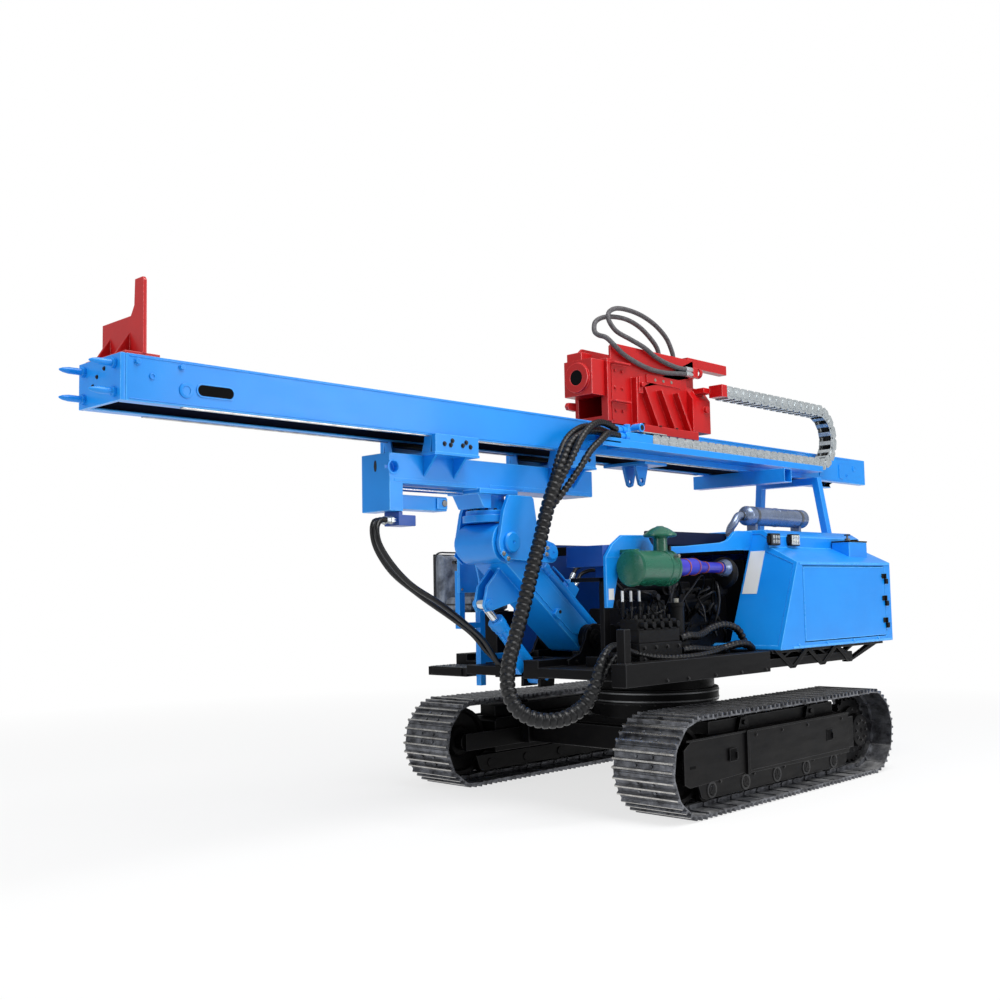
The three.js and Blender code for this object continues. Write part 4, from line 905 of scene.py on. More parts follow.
def link_master():
    """One link along Y at the origin."""
    half, tall = LINK / 2, CHAIN_BAND / 2
    parts = []
    for side in (-1, 1):
        outer = side * CHAIN_HALF
        face = sorted((outer - side * 0.004, outer - side * 0.0075))
        skin = sorted((outer, outer - side * 0.004))
        parts.append(plate([(-half, -tall * 0.7), (-half * 0.7, -tall), (half * 0.7, -tall), (half, -tall * 0.7),
                            (half, tall * 0.7),
                            (half * 0.7, tall), (-half * 0.7, tall), (-half, tall * 0.7)], "x", *face, "zinc",
                           edge=0))
        parts.append(plate([(-half * 1.18, -tall * 0.35), (-half * 0.8, -tall * 0.55), (half * 0.28, -tall * 0.55),
                            (half * 0.5, 0),
                            (half * 0.28, tall * 0.55), (-half * 0.8, tall * 0.55), (-half * 1.18, tall * 0.35)],
                           "x", *skin, "zinc", edge=0.001))
        parts.append(rod("x", 0.008, *sorted((outer - side * 0.0005, outer - side * 0.012)), (-half * 0.62, 0), "pin",
                         sides=8, edge=0.001))
    for z in (-tall + 0.004, tall - 0.004):
        parts.append(bar((-CHAIN_HALF + 0.006, CHAIN_HALF - 0.006), (-0.017, 0.017), (z - 0.004, z + 0.004), "zinc",
                         edge=0.001))
    return joined(parts)


places = []
for index in range(LINKS):
    y, z, turn = on_chain((index + 0.5) * LINK)
    places.append(Matrix.Translation((CHAIN_X, y, z)) @ Matrix.Rotation(turn, 4, "X"))
links = stamped(link_master(), places)
inner_hoses = []
for offset in (-0.034, -0.011, 0.012, 0.035):
    line = [(CHAIN_X + offset, *on_chain(chain_length * k / 60)[:2]) for k in range(61)]
    inner_hoses.append(pipe(line, 0.021, "rubber", spacing=0.05))
chain = placed([links] + inner_hoses, "hose_drag_chain", "mast", "chain_zinc", "drag_chain")
print(chain.name, len(chain.data.polygons), "faces")

# %% [markdown]
# ## The measured solids
# Most steel parts already have their right shape. Each is copied, its flat faces are made whole, its edges
# are rounded by a few millimetres and it gets its paint.

# %% Refine the solids that keep their shape
# The bay's far panel and the slide valve take the blue in painted shade.
SOLIDS = {
    "undercarriage": {"car_body": ("black", 0.006)},
    "upper": {"upper_frame": ("black", 0.004), "hood_deck": ("black", 0.003), "boom_bracket": ("black", 0.004),
              "bay_far_panel": ("shade_blue", 0.003), "rear_hood": ("blue", 0.004), "radiator": ("black", 0.004),
              "console_panel": ("blue", 0.003), "console_posts": ("blue", 0.003), "seat_pedestal": ("black", 0.004),
              "mast_trestle": ("blue", 0.004), "tilt_foot_pin": ("pin", 0.002)},
    "hood_door": {"hood_door": ("blue", 0.003)},
    "boom": {"boom": ("blue", 0.005)},
    "head_pin": {"head_pin": ("pin", 0.003)},
    "lift_rod": {"lift_rod": ("chrome", 0.002)},
    "tilt_rod": {"tilt_rod": ("chrome", 0.002)},
    "tilt_head": {"tilt_head": ("blue", 0.004)},
    "slide_frame": {"slide_frame": ("blue", 0.005), "slide_valve": ("shade_blue", 0.004)},
    "mast": {"mast_beam": ("blue", 0.006), "pile_guide": ("red", 0.003), "chain_tray": ("blue", 0.003),
             "mast_lugs": ("blue", 0.003), "cross_tube": ("blue", 0.003)},
    "drive_head": {"head_nose": ("red", 0.005), "head_carriage": ("red", 0.004), "motor_cover": ("red", 0.004)},
}
SLOT_OF = {"black": "chassis_black", "blue": "blue_paint", "shade_blue": "blue_paint", "red": "red_paint",
           "chrome": "bright_rod", "pin": "pin_steel"}
for body, solids in SOLIDS.items():
    for name, (look, edge) in solids.items():
        placed(refined(name, look, edge), f"{name}_piece", body, SLOT_OF[look], name)
    print(body, len(solids), "solids refined")

# %% [markdown]
# ## Track frames
# A track frame is a long welded box that carries the rollers. Its face shows a stepped skin: a yoke cover
# over the idler, the main box with a lip, a guard below with the roller hubs in it, and two grease
# pockets. Plates are drawn in side view and welded on; the rollers are turned.

# %% Build the track frames
SLEW_Y = 0.68
ROLLER_YS = [-0.196 + 0.3755 * k for k in range(5)]
ROLLER_Z, CARRIER_Z = 0.1403, 0.499
GUARD = [(-0.30, 0.105), (-0.26, 0.09), (1.46, 0.09), (1.50, 0.12), (1.50, 0.20), (-0.34, 0.20)]
for hand, sign in (("left", 1), ("right", -1)):
    x = sign * TRACK_X

    def across(inner, outer):
        return sorted((x + sign * inner, x + sign * outer))

    parts = [
        plate([(-0.14, 0.205), (1.50, 0.205), (1.50, 0.425), (1.47, 0.448), (-0.11, 0.448), (-0.14, 0.425)],
              "x", *across(-0.13, 0.135), "black", 0.006),
        bar((x - 0.152, x + 0.152), (0.2, 1.525), (0.444, 0.458), "black", 0.002),
        plate([(0.2, 0.19), (1.52, 0.175), (1.52, 0.452), (0.2, 0.452)], "x", *across(0.13, 0.148), "black", 0.003),
        plate([(-0.475, 0.2), (-0.42, 0.176), (0.19, 0.196), (0.19, 0.448), (-0.40, 0.448), (-0.475, 0.40)],
              "x", *across(0.122, 0.138), "black", 0.004),
        bar(across(0.118, 0.148), (-0.46, 0.19), (0.446, 0.458), "black", 0.003),
        bar(across(0.135, 0.156), (0.186, 0.214), (0.185, 0.456), "black", 0.003),
        bar(across(-0.15, -0.12), (-0.45, 1.82), (0.245, 0.365), "black", 0.004),
        bar(across(0.10, 0.128), (1.44, 1.63), (0.2, 0.42), "black", 0.006),
        plate(GUARD, "x", *across(0.118, 0.134), "black", 0.003),
        plate(GUARD, "x", *across(-0.134, -0.118), "black", 0.003),
        bar(across(-0.22, 0.0), (SLEW_Y - 0.56, SLEW_Y + 0.56), (0.25, 0.42), "black", 0.006),
    ]
    # Each grease pocket holds a near-black plate, painted shade in its recess.
    for y in (0.03, 1.24):
        parts += [bar(across(0.146, 0.152), (y - 0.04, y + 0.04), (0.285, 0.365), "black", 0.002),
                  bar(across(0.148, 0.1535), (y - 0.034, y + 0.034), (0.290, 0.360), "shade_black", 0.001),
                  bar(across(0.148, 0.166), (y + 0.022, y + 0.034), (0.30, 0.34), "black", 0.002)]
    # A small near-black plate is painted shade in a recess.
    parts.append(bar(across(0.134, 0.1395), (-0.42, -0.36), (0.285, 0.302), "shade_black", 0.002))
    parts.append(bar(across(-0.09, 0.06), (-0.10, 1.46), (0.45, 0.532), "black", 0.006))
    # A near-black strip in the step of the skin is painted shade in the gap, and the paler thin rod along the bottom
    # ledge is a painted highlight.
    parts.append(bar(across(0.140, 0.1492), (0.196, 0.206), (0.20, 0.44), "shade_black", 0))
    parts.append(pipe([(x + sign * 0.1475, y, 0.207) for y in (0.21, 0.6, 1.0, 1.5)], 0.006, "black_edge",
                      spacing=0.2, sides=6))
    for y in ROLLER_YS:
        parts.append(lathe([(x - 0.09, 0.02), (x - 0.09, 0.078), (x - 0.06, 0.078), (x - 0.055, 0.068),
                            (x - 0.015, 0.068), (x, 0.06),
                            (x + 0.015, 0.068), (x + 0.055, 0.068), (x + 0.06, 0.078), (x + 0.09, 0.078),
                            (x + 0.09, 0.02)],
                           "x", (y, ROLLER_Z), "black", 20))
        parts.append(rod("x", 0.03, x - 0.142, x + 0.142, (y, ROLLER_Z), "black", 20))
        parts.append(lathe([(x + sign * 0.133, 0.052), (x + sign * 0.139, 0.05), (x + sign * 0.14, 0.036),
                            (x + sign * 0.136, 0.032),
                            (x + sign * 0.133, 0.032)], "x", (y, ROLLER_Z), "black_edge", 20))
        for turn in (90, 210, 330):
            a = math.radians(turn)
            spoke = bar((-0.005, 0.005), (0.0, 0.034), (-0.004, 0.004), "black", 0.001)
            spoke.data.transform(Matrix.Translation((x + sign * 0.139, y, ROLLER_Z)) @ Matrix.Rotation(a, 4, "X"))
            parts.append(spoke)
    for dy in (-0.42, 0.42):
        y = SLEW_Y + dy
        parts.append(lathe([(x - 0.06, 0.01), (x - 0.06, 0.047), (x - 0.045, 0.047), (x - 0.04, 0.04),
                            (x + 0.04, 0.04), (x + 0.045, 0.047),
                            (x + 0.06, 0.047), (x + 0.06, 0.01)], "x", (y, CARRIER_Z), "black", 20))
        parts.append(plate([(y - 0.07, 0.445), (y + 0.07, 0.445), (y + 0.04, 0.53), (y - 0.03, 0.53)],
                           "x", *across(0.066, 0.086), "black", 0.003))
        parts.append(rod("x", 0.016, *across(-0.07, 0.1), (y, CARRIER_Z), "black", 12))
    rim = [((x + sign * 0.148, y, 0.42), (sign, 0, 0)) for y in (0.3, 0.62, 0.95, 1.42)]
    rim += [((x + sign * 0.134, y, 0.178), (sign, 0, 0)) for y in (-0.1, 0.28, 0.65, 1.03, 1.41)]
    parts.append(copies(bolt(0.009, "dark_bolt"), rim))
    placed(parts, f"track_frame_{hand}_built", "undercarriage", "chassis_black", f"track_frame_{hand}")
print("track frames built")

# %% [markdown]
# ## Mast details
# The foot of the mast carries four pointed spikes that bite into the ground. Each is a round pin with a
# cone, set in a square boss, so it is a turned shape with a small plate at its root.

# %% Model the mast foot
MAST_LOW, MAST_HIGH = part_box("mast_beam")
foot_y = MAST_LOW.y
parts = [bar((MAST_LOW.x, MAST_HIGH.x), (foot_y - 0.025, foot_y - 0.0003), (MAST_LOW.z, MAST_HIGH.z), "blue", 0.003)]
tip_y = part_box("mast_foot_plate")[0].y
for x in (-0.15, 0.15):
    for z in (MAST_LOW.z + 0.045, MAST_HIGH.z - 0.045):
        parts.append(lathe([(foot_y - 0.02, 0.0), (foot_y - 0.02, 0.0165), (tip_y + 0.05, 0.0165),
                            (tip_y + 0.045, 0.0155), (tip_y + 0.02, 0.0115),
                            (tip_y + 0.004, 0.005), (tip_y, 0.0)], "y", (x, z), "blue", 20))
        parts.append(lathe([(foot_y - 0.044, 0.0), (foot_y - 0.044, 0.022), (foot_y - 0.04, 0.026),
                            (foot_y - 0.024, 0.026), (foot_y - 0.022, 0.032),
                            (foot_y - 0.02, 0.032), (foot_y - 0.02, 0.0)], "y", (x, z), "blue", 6))
parts.append(copies(bolt(0.008, "dark_bolt"), [((x, foot_y - 0.025, z), (0, -1, 0)) for x, z in
                                               ((-0.02, 2.40), (0.02, 2.33), (-0.06, 2.36), (0.05, 2.43))]))
placed(parts, "mast_foot_spikes", "mast", "blue_paint", "mast_foot_plate")

# %% [markdown]
# The side of the mast shows a sunk oval window with a rim, turned bosses, bolts below the guide and a long
# weld along each corner plate. Doubler strips run under it as the sliding rails.

# %% Add the bosses, rails and bolts of the mast
SIDE_X = MAST_HIGH.x


def boss(y, z, radius, stand=0.006, look="blue"):
    """A turned boss with a sunk middle on the mast's side."""
    return lathe([(SIDE_X - 0.002, 0), (SIDE_X - 0.002, radius), (SIDE_X + stand * 0.7, radius),
                  (SIDE_X + stand, radius * 0.86),
                  (SIDE_X + stand, radius * 0.6), (SIDE_X + stand * 0.4, radius * 0.52), (SIDE_X + stand * 0.4, 0)],
                 "x", (y, z), look, 24)


def window(half_length, half_height):
    """The outline of the oval window."""
    return [(-3.084 + math.copysign(half_length - half_height, math.cos(a)) + half_height * math.cos(a),
             2.353 + half_height * math.sin(a)) for a in turns(28)]


parts = [boss(-3.246, 2.343, 0.038), boss(-3.425, 2.39, 0.016), boss(3.5, 2.40, 0.026), boss(3.36, 2.33, 0.014)]
rim = plate(window(0.108, 0.034), "x", SIDE_X - 0.001, SIDE_X + 0.005, "blue", 0.002)
# Inside the rim, a near-black plate is painted shade in the sunk window.
hollow = plate(window(0.100, 0.027), "x", SIDE_X + 0.004, SIDE_X + 0.0056, "shade_black", 0)
parts += [rim, hollow]
parts.append(copies(bolt(0.014, "blue"), [((SIDE_X, y, 2.452), (1, 0, 0)) for y in (-3.50, -3.27)]))
for side in (-1, 1):
    x = side * (abs(MAST_LOW.x) - 0.02)
    parts.append(bar((x - 0.012, x + 0.012), (MAST_LOW.y + 0.3, 1.6), (MAST_LOW.z - 0.0055, MAST_LOW.z + 0.002),
                     "worn", 0.001))
for y in (2.9, 3.25):
    parts.append(bar((SIDE_X - 0.002, SIDE_X + 0.008), (y - 0.03, y + 0.03), (2.30, 2.42), "blue", 0.002))
for z in (MAST_LOW.z + 0.012, MAST_HIGH.z - 0.012):
    seam = [(SIDE_X + 0.0005, MAST_LOW.y + 0.02 + 0.24 * k, z) for k in range(30)]
    parts.append(pipe(seam, 0.005, "blue", spacing=0.12, sides=6))
# Inside the channel, thin navy sheets on the inner faces are painted shade.
inner = abs(MAST_LOW.x) - 0.0125
inside_y = (MAST_LOW.y + 0.02, MAST_HIGH.y - 0.02)
for side in (-1, 1):
    parts.append(bar(sorted((side * (inner - 0.004), side * inner)), inside_y,
                     (MAST_LOW.z + 0.014, MAST_HIGH.z - 0.014), "shade_navy", 0))
parts.append(bar((-inner, inner), inside_y, (MAST_HIGH.z - 0.018, MAST_HIGH.z - 0.0135), "shade_navy", 0))
placed(parts, "mast_fittings", "mast", "blue_paint")
print("mast fittings made")

# %% [markdown]
# The drive head rubs the paint off the middle of the mast's top as it travels, which leaves a bright
# strip. A thin bar of bare steel, let into the top, gives the same look with a clean edge.

# %% Lay the wear strip
strip = bar((-0.03, 0.03), (MAST_LOW.y + 0.25, MAST_HIGH.y - 0.08), (MAST_HIGH.z - 0.001, MAST_HIGH.z + 0.0002),
            "worn", 0)
placed(strip, "mast_wear_strip", "mast", "track_steel")
print("wear strip laid")

# %% [markdown]
# ## Sliding frame and its clamps
# The mast slides in two clamps on the frame below it. Each has a bolted side plate beside the mast, a
# flange, sloping cheeks that open upwards, and triangular ribs down to the frame.

# %% Weld the mast clamps
for where in ("front", "rear"):
    clamp_low, clamp_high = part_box(f"mast_clamp_{where}")
    y0, y1 = clamp_low.y, clamp_high.y
    parts = [bar((-0.20, 0.20), (y0, y1), (2.1553, 2.172), "blue", 0.002)]
    for side in (-1, 1):
        def pair(a, b):
            return sorted((side * a, side * b))
        parts += [bar(pair(0.2125, 0.2475), (y0, y1), (2.165, 2.272), "blue", 0.004),
                  bar(pair(0.14, 0.2495), (y0 - 0.006, y1 + 0.006), (2.150, 2.166), "blue", 0.003),
                  bar(pair(0.154, 0.21), (y0 + 0.01, y1 - 0.01), (2.236, 2.2622), "black", 0.003)]
        for y in (y0, y1 - 0.014):
            cheek = [(0.1255, 2.168), (0.2, 2.168), (0.2115, 2.262), (0.152, 2.262), (0.146, 2.235)]
            parts.append(plate([(side * a, b) for a, b in cheek], "y", y, y + 0.014, "blue", 0.002))
        for y in (y0 + 0.012, y0 + (y1 - y0) * 0.72):
            rib = [(0.1256, 2.03), (0.1256, 2.151), (0.238, 2.151)]
            parts.append(plate([(side * a, b) for a, b in rib], "y", y, y + 0.014, "blue", 0.002))
        rows = [(y0 + (y1 - y0) * share, 2.215 + rise) for share, rise in
                ((0.2, 0.0), (0.34, -0.004), (0.38, 0.022), (0.62, 0.0), (0.7, 0.02), (0.8, -0.004))]
        parts.append(copies(bolt(0.011, "dark_bolt"), [((side * 0.2475, y, z), (side, 0, 0)) for y, z in rows]))
    placed(parts, f"mast_clamp_{where}_welded", "slide_frame", "blue_paint", f"mast_clamp_{where}")

# %% [markdown]
# Under the frame a pale cylinder rod shows in the window, with a clevis at the end of the lower bar, and a
# ring of bolts holds the swing bearing. The front block keeps a small slot, and no badge.

# %% Fit the slide cylinder, clevis and bearing bolts
parts = [rod("y", 0.015, -1.80, -1.215, (0.0, 1.9645), "chrome"),
         rod("y", 0.024, -1.80, -1.74, (0.0, 1.957), "pin"),
         rod("x", 0.02, -0.075, 0.075, (-1.43, 1.886), "pin"),
         bar((0.0595, 0.07), (-1.49, -1.405), (1.85, 1.918), "blue", 0.008),
         bar((-0.07, -0.0595), (-1.49, -1.405), (1.85, 1.918), "blue", 0.008),
         # The small slot is a black plate on the face, painted shade of the opening.
         plate([(0.012 * math.cos(a), 2.085 + 0.034 * math.sin(a)) for a in turns(16)],
               "y", -1.9063, -1.9045, "rubber", 0),
         bar((0.12, 0.1275), (-1.87, -1.30), (1.992, 2.012), "blue", 0.002),
         bar((0.12, 0.1275), (-1.10, -0.14), (1.992, 2.012), "blue", 0.002),
         lathe([(0.1235, 0.034), (0.1275, 0.034), (0.129, 0.04), (0.1275, 0.046), (0.1235, 0.046)], "x",
               (-1.873, 2.075), "blue", 24)]
placed(parts, "slide_cylinder_and_clevis", "slide_frame", "bright_rod")
ring_bolts = [((0.125 * math.cos(a), -0.985 + 0.125 * math.sin(a), 1.8603), (0, 0, 1))
              for a in turns(14)]
placed(copies(bolt(0.011, "dark_bolt"), ring_bolts), "swing_bearing_bolts", "slide_frame", "pin_steel")
for side, x in (("left", 0.088), ("right", 0.028)):
    collar = lathe([(-1.9052, 0.0), (-1.9052, 0.0195), (-1.88, 0.0195), (-1.876, 0.024), (-1.86, 0.024),
                    (-1.856, 0.0175),
                    (-1.84, 0.0175), (-1.84, 0)], "y", (x, 1.772), "zinc", 6)
    placed(collar, f"valve_fitting_{side}", "slide_frame", "pin_steel")
print("slide frame detailed")

# %% [markdown]
# ## Boom joints
# A big pin carries the mast on the head of the boom: a turned cap, and a small keeper plate with two pale
# bolts that stops the pin from turning. The other pins have the same kit in a smaller size.

# %% Model a pin cap and a keeper
def pin_cap(x, side, y, z, radius, thick, look="blue"):
    """A turned cap on the outside of a plate; side is the way it faces."""
    return lathe([(x, 0), (x, radius), (x + side * thick * 0.6, radius), (x + side * thick, radius * 0.86),
                  (x + side * thick, radius * 0.18), (x + side * thick * 0.7, radius * 0.12),
                  (x + side * thick * 0.7, 0)],
                 "x", (y, z), look, 28)


def keeper(x, side, y, z, turn, length=0.09):
    """A keeper plate with its two bolts."""
    strip = bar((0, 0.008), (-length / 2, length / 2), (-0.018, 0.018), "blue", 0.002)
    studs = copies(bolt(0.011, "bolt"), [((0.008, way * length * 0.28, 0), (1, 0, 0)) for way in (-1, 1)])
    both = joined([strip, studs])
    mirror = Matrix.Rotation(math.pi, 4, "Z") if side < 0 else Matrix.Identity(4)
    both.data.transform(Matrix.Translation((x, y, z)) @ Matrix.Rotation(math.radians(turn), 4, "X") @ mirror)
    return both


HEAD_Y, HEAD_Z, LOBE_Y, LOBE_Z = -0.995, 1.656, -0.624, 1.597
FOOT_Y, FOOT_Z = -0.233, 1.037
LIFT_BASE, LIFT_EYE = (-0.56, 0.80), (-1.047, 1.279)
for side, hand in ((1, "left"), (-1, "right")):
    pieces = [pin_cap(side * 0.2003, side, HEAD_Y, HEAD_Z, 0.066, 0.024), keeper(side * 0.2003, side, HEAD_Y - 0.055,
                                                                                 HEAD_Z - 0.085, -38)]
    placed(pieces, f"head_pin_cap_{hand}", "tilt_head", "blue_paint")
    pieces = [pin_cap(side * 0.2003, side, LOBE_Y, LOBE_Z, 0.048, 0.02), keeper(side * 0.2003, side, LOBE_Y - 0.05,
                                                                                LOBE_Z + 0.008, 80, 0.07)]
    placed(pieces, f"lobe_pin_cap_{hand}", "tilt_head", "blue_paint")
    pieces = [pin_cap(side * 0.1953, side, FOOT_Y, FOOT_Z, 0.056, 0.018, "black"),
              copies(bolt(0.010, "dark_bolt"), [((side * 0.1953, FOOT_Y + 0.075 * math.cos(a),
                                                  FOOT_Z + 0.075 * math.sin(a)), (side, 0, 0))
                                                for a in (0.6, 1.4, 2.4, 3.4)])]
    placed(pieces, f"foot_pin_cap_{hand}", "upper", "chassis_black")
    placed(pin_cap(side * 0.0503, side, *LIFT_EYE, 0.034, 0.016), f"lift_eye_cap_{hand}", "boom", "blue_paint")
print("pin caps made")

# %% [markdown]
# The boom is a welded box. Its head shows a rolled skin, a doubler plate and a bracket part of the way down.

# %% Weld the boom's doubler and bracket
along_boom = Vector((0, HEAD_Y - FOOT_Y, HEAD_Z - FOOT_Z)).normalized()
across_boom = Vector((0, -along_boom.z, along_boom.y))


def on_boom(distance, off):
    """A side-view place at a distance from the foot pin along the boom and off its middle line."""
    spot = Vector((0, FOOT_Y, FOOT_Z)) + along_boom * distance - across_boom * off
    return spot.y, spot.z


parts = []
for side in (-1, 1):
    x = sorted((side * 0.1395, side * 0.146))
    doubler = ((0.14, -0.06), (0.62, -0.06), (0.70, -0.03), (0.70, 0.03), (0.62, 0.06), (0.14, 0.06), (0.08, 0.03),
               (0.08, -0.03))
    parts.append(plate([on_boom(*spot) for spot in doubler], "x", *x, "blue", 0.002))
    x = sorted((side * 0.1395, side * 0.165))
    ear = ((0.30, -0.075), (0.36, -0.075), (0.36, -0.03), (0.33, -0.01), (0.30, -0.03))
    parts.append(plate([on_boom(*spot) for spot in ear], "x", *x, "blue", 0.003))
parts.append(copies(bolt(0.009, "dark_bolt"), [((0.165, *on_boom(0.33, -0.035)), (1, 0, 0))]))
placed(parts, "boom_doublers", "boom", "blue_paint")
print("boom doubled")

# %% [markdown]
# Both cylinders get a round gland nut at the rod end, a welded port block and a fixed pipe along the barrel. The tilt
# cylinder's block has two pale couplings, from which hoses bow over into the engine bay.

# %% Dress the two cylinders
def barrel_dress(base, eye, radius, gland_at, block_at, block_up):
    """A gland, a port block and a pipe on a cylinder barrel between two side-view pins."""
    line = Vector((0, eye[0] - base[0], eye[1] - base[1]))
    way = line.normalized()
    start = Vector((0, base[0], base[1]))
    gland = lathe([(gland_at - 0.05, radius - 0.004), (gland_at - 0.05, radius + 0.008),
                   (gland_at - 0.004, radius + 0.008),
                   (gland_at, radius + 0.004), (gland_at, radius * 0.6)], "z", (0, 0), "blue", 24)
    band = lathe([(gland_at - 0.085, radius - 0.002), (gland_at - 0.085, radius + 0.003),
                  (gland_at - 0.075, radius + 0.003),
                  (gland_at - 0.075, radius - 0.002)], "z", (0, 0), "blue", 24)
    dressed = aimed(joined([gland, band]), start, way)
    up = Vector((0, -way.z, way.y)) * block_up
    centre = start + way * block_at + up * (radius + 0.018)
    block = bar((-0.045, 0.045), (-0.028, 0.028), (-0.055, 0.055), "blue", 0.004)
    aimed(block, centre, way)
    side = Vector((0.03, 0, 0))
    tube_line = [start + way * (gland_at - 0.09) + up * (radius + 0.01) + side,
                 start + way * (gland_at - 0.16) + up * (radius + 0.016) + side,
                 centre + way * 0.05 + side]
    return [dressed, block, pipe(tube_line, 0.014, "blue", spacing=0.02, sides=8)], centre, way, up


TILT_BASE = (LOBE_Y + FOOT_Y - HEAD_Y, LOBE_Z + FOOT_Z - HEAD_Z)
TILT_EYE = (LOBE_Y, LOBE_Z)
tilt_run = math.dist(TILT_BASE, TILT_EYE)
parts, centre, way, up = barrel_dress(TILT_BASE, TILT_EYE, 0.052, tilt_run - 0.125, 0.52, -1)
lift = [refined("tilt_barrel", "blue", 0.003)]
fittings = []
for k, shift in enumerate((-0.03, 0.03)):
    root = centre + way * shift + up * 0.026
    collar = lathe([(0, 0.0), (0, 0.017), (0.02, 0.017), (0.022, 0.013), (0.05, 0.013), (0.052, 0.018),
                    (0.085, 0.018), (0.085, 0)],
                   "z", (0, 0), "zinc", 12)
    fittings.append(aimed(collar, root, up))
placed(lift + parts + fittings, "tilt_barrel_dressed", "tilt_barrel", "blue_paint", "tilt_barrel")
lift_run = math.dist(LIFT_BASE, LIFT_EYE)
parts = barrel_dress(LIFT_BASE, LIFT_EYE, 0.046, lift_run - 0.146, 0.20, 1)[0]
placed([refined("lift_barrel", "blue", 0.003)] + parts, "lift_barrel_dressed", "lift_barrel", "blue_paint",
       "lift_barrel")
print("cylinders dressed")

# %% [markdown]
# Two fixed hoses arch from those couplings over to the machine's own pipes. As the boom lifts, the barrel swings
# under them; here the hoses keep one fixed shape.

# %% Lay the two arching hoses
for k, shift in enumerate((-0.03, 0.03)):
    root = centre + way * shift + up * 0.105
    span = [root, root + up * 0.05, root + up * 0.085 + Vector((0.05, 0.05, 0)),
            root + up * 0.07 + Vector((0.13, 0.12, -0.02)),
            root + Vector((0.19, 0.20, -0.05)), Vector((0.245, 0.16 + 0.05 * k, 1.24 - 0.02 * k)),
            Vector((0.262, 0.20 + 0.05 * k, 1.10))]
    hose = pipe(span, 0.026, "rubber", spacing=0.02, sides=10)
    hose.name = f"tilt_hose_{k + 1}"
    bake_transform(hose)
print("arching hoses laid")

# %% [markdown]
# ## Drive head details
# The head is a welded red box. It gets pale bolts on its upper edge, collars where hoses end, a ring
# bracket for the hose bundle, a pulled lug below the nose and a bolted cover over the motor.

# %% Dress the drive head
parts = [copies(bolt(0.014, "bolt"), [((0.1505, y, z), (1, 0, 0)) for y, z in ((0.60, 2.865), (0.70, 2.868),
                                                                               (0.80, 2.871))]),
         copies(bolt(0.011, "red"), [((0.1505, y, z), (1, 0, 0)) for y in (0.14, 0.22) for z in (2.60, 2.76, 2.88)]),
         bar((0.110, 0.160), (0.50, 0.92), (2.84, 2.90), "red", 0.003),
         bar((0.150, 0.2), (0.355, 0.40), (2.74, 2.86), "red", 0.004),
         rod("x", 0.018, 0.19, 0.222, (0.377, 2.80), "red", 16),
         bar((0.1505, 0.156), (0.1, 0.12), (2.53, 2.92), "red", 0.001)]
for y in (0.36, 0.56, 0.76):
    parts.append(copies(bolt(0.010, "dark_bolt"), [((0.224, y, 2.5125), (0, 0, 1))]))
# A near-black disc in the nose's bore is painted shade.
parts.append(rod("y", 0.0605, -0.098, 0.05, (0, 2.82), "shade_black", 32, 0))
parts.append(plate([(-0.02, 2.60), (-0.02, 2.66), (-0.10, 2.655), (-0.115, 2.63), (-0.10, 2.605)], "x", -0.10, -0.07,
                   "red", 0.004))
placed(parts, "drive_head_fittings", "drive_head", "red_paint")

# %% Close the hose ends with collars and fit the ring bracket
parts = []
for x, y, z, way in ((0.05, 0.985, LID, (0, 0, 1)), (0.05, 0.80, LID, (0, 0, 1)), (0.172, 1.0397, 2.991, (0, -1, 0)),
                     (0.172, 1.0397, 2.954, (0, -1, 0))):
    collar = lathe([(0.0, 0.0), (0.0, 0.021), (0.028, 0.021), (0.03, 0.0205), (0.07, 0.0205), (0.075, 0.0185),
                    (0.075, 0)],
                   "z", (0, 0), "zinc", 20)
    parts.append(aimed(collar, (x, y, z), way))
placed(parts, "hose_collars", "drive_head", "pin_steel")
ring = lathe([(1.105, 0.030), (1.105, 0.040), (1.135, 0.040), (1.135, 0.030)], "y", (0.172, 2.975), "red", 28)
stem = bar((0.150, 0.172), (1.10, 1.14), (2.94, 2.952), "red", 0.002)
guard = bar((0.06, 0.12), (0.80, 1.14), (2.862, 2.957), "red", 0.003)
placed([ring, stem, guard], "hose_ring_bracket", "drive_head", "red_paint")
plates = copies(bolt(0.010, "dark_bolt"), [((x, 1.2405, z), (0, 1, 0)) for x, z in ((-0.07, 2.55), (0.17, 2.55),
                                                                                    (0.17, 2.74), (-0.06, 2.83))])
placed(plates, "motor_cover_bolts", "drive_head", "pin_steel")
print("drive head dressed")

# %% [markdown]
# ## Hose bundle at the bulkhead
# Beside the conduit three more ribbed hoses leave the blue fittings, fan out, and gather into it lower
# down. They are thinner, so each is its own corrugated curve.

# %% Lay the ribbed hoses at both ends of the conduit
def ribbed(name, route, diameter, step):
    """A ribbed hose that rides on the upper body."""
    line = smooth_line(route, step / 3)
    made = hose_curve(name, line, diameter, "rubber", [(1.1, 1.1, 0.74)[i % 3] for i in range(len(line))], sides=8)
    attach(made, "upper")
    print(name, "length", round(line_length(line), 3))


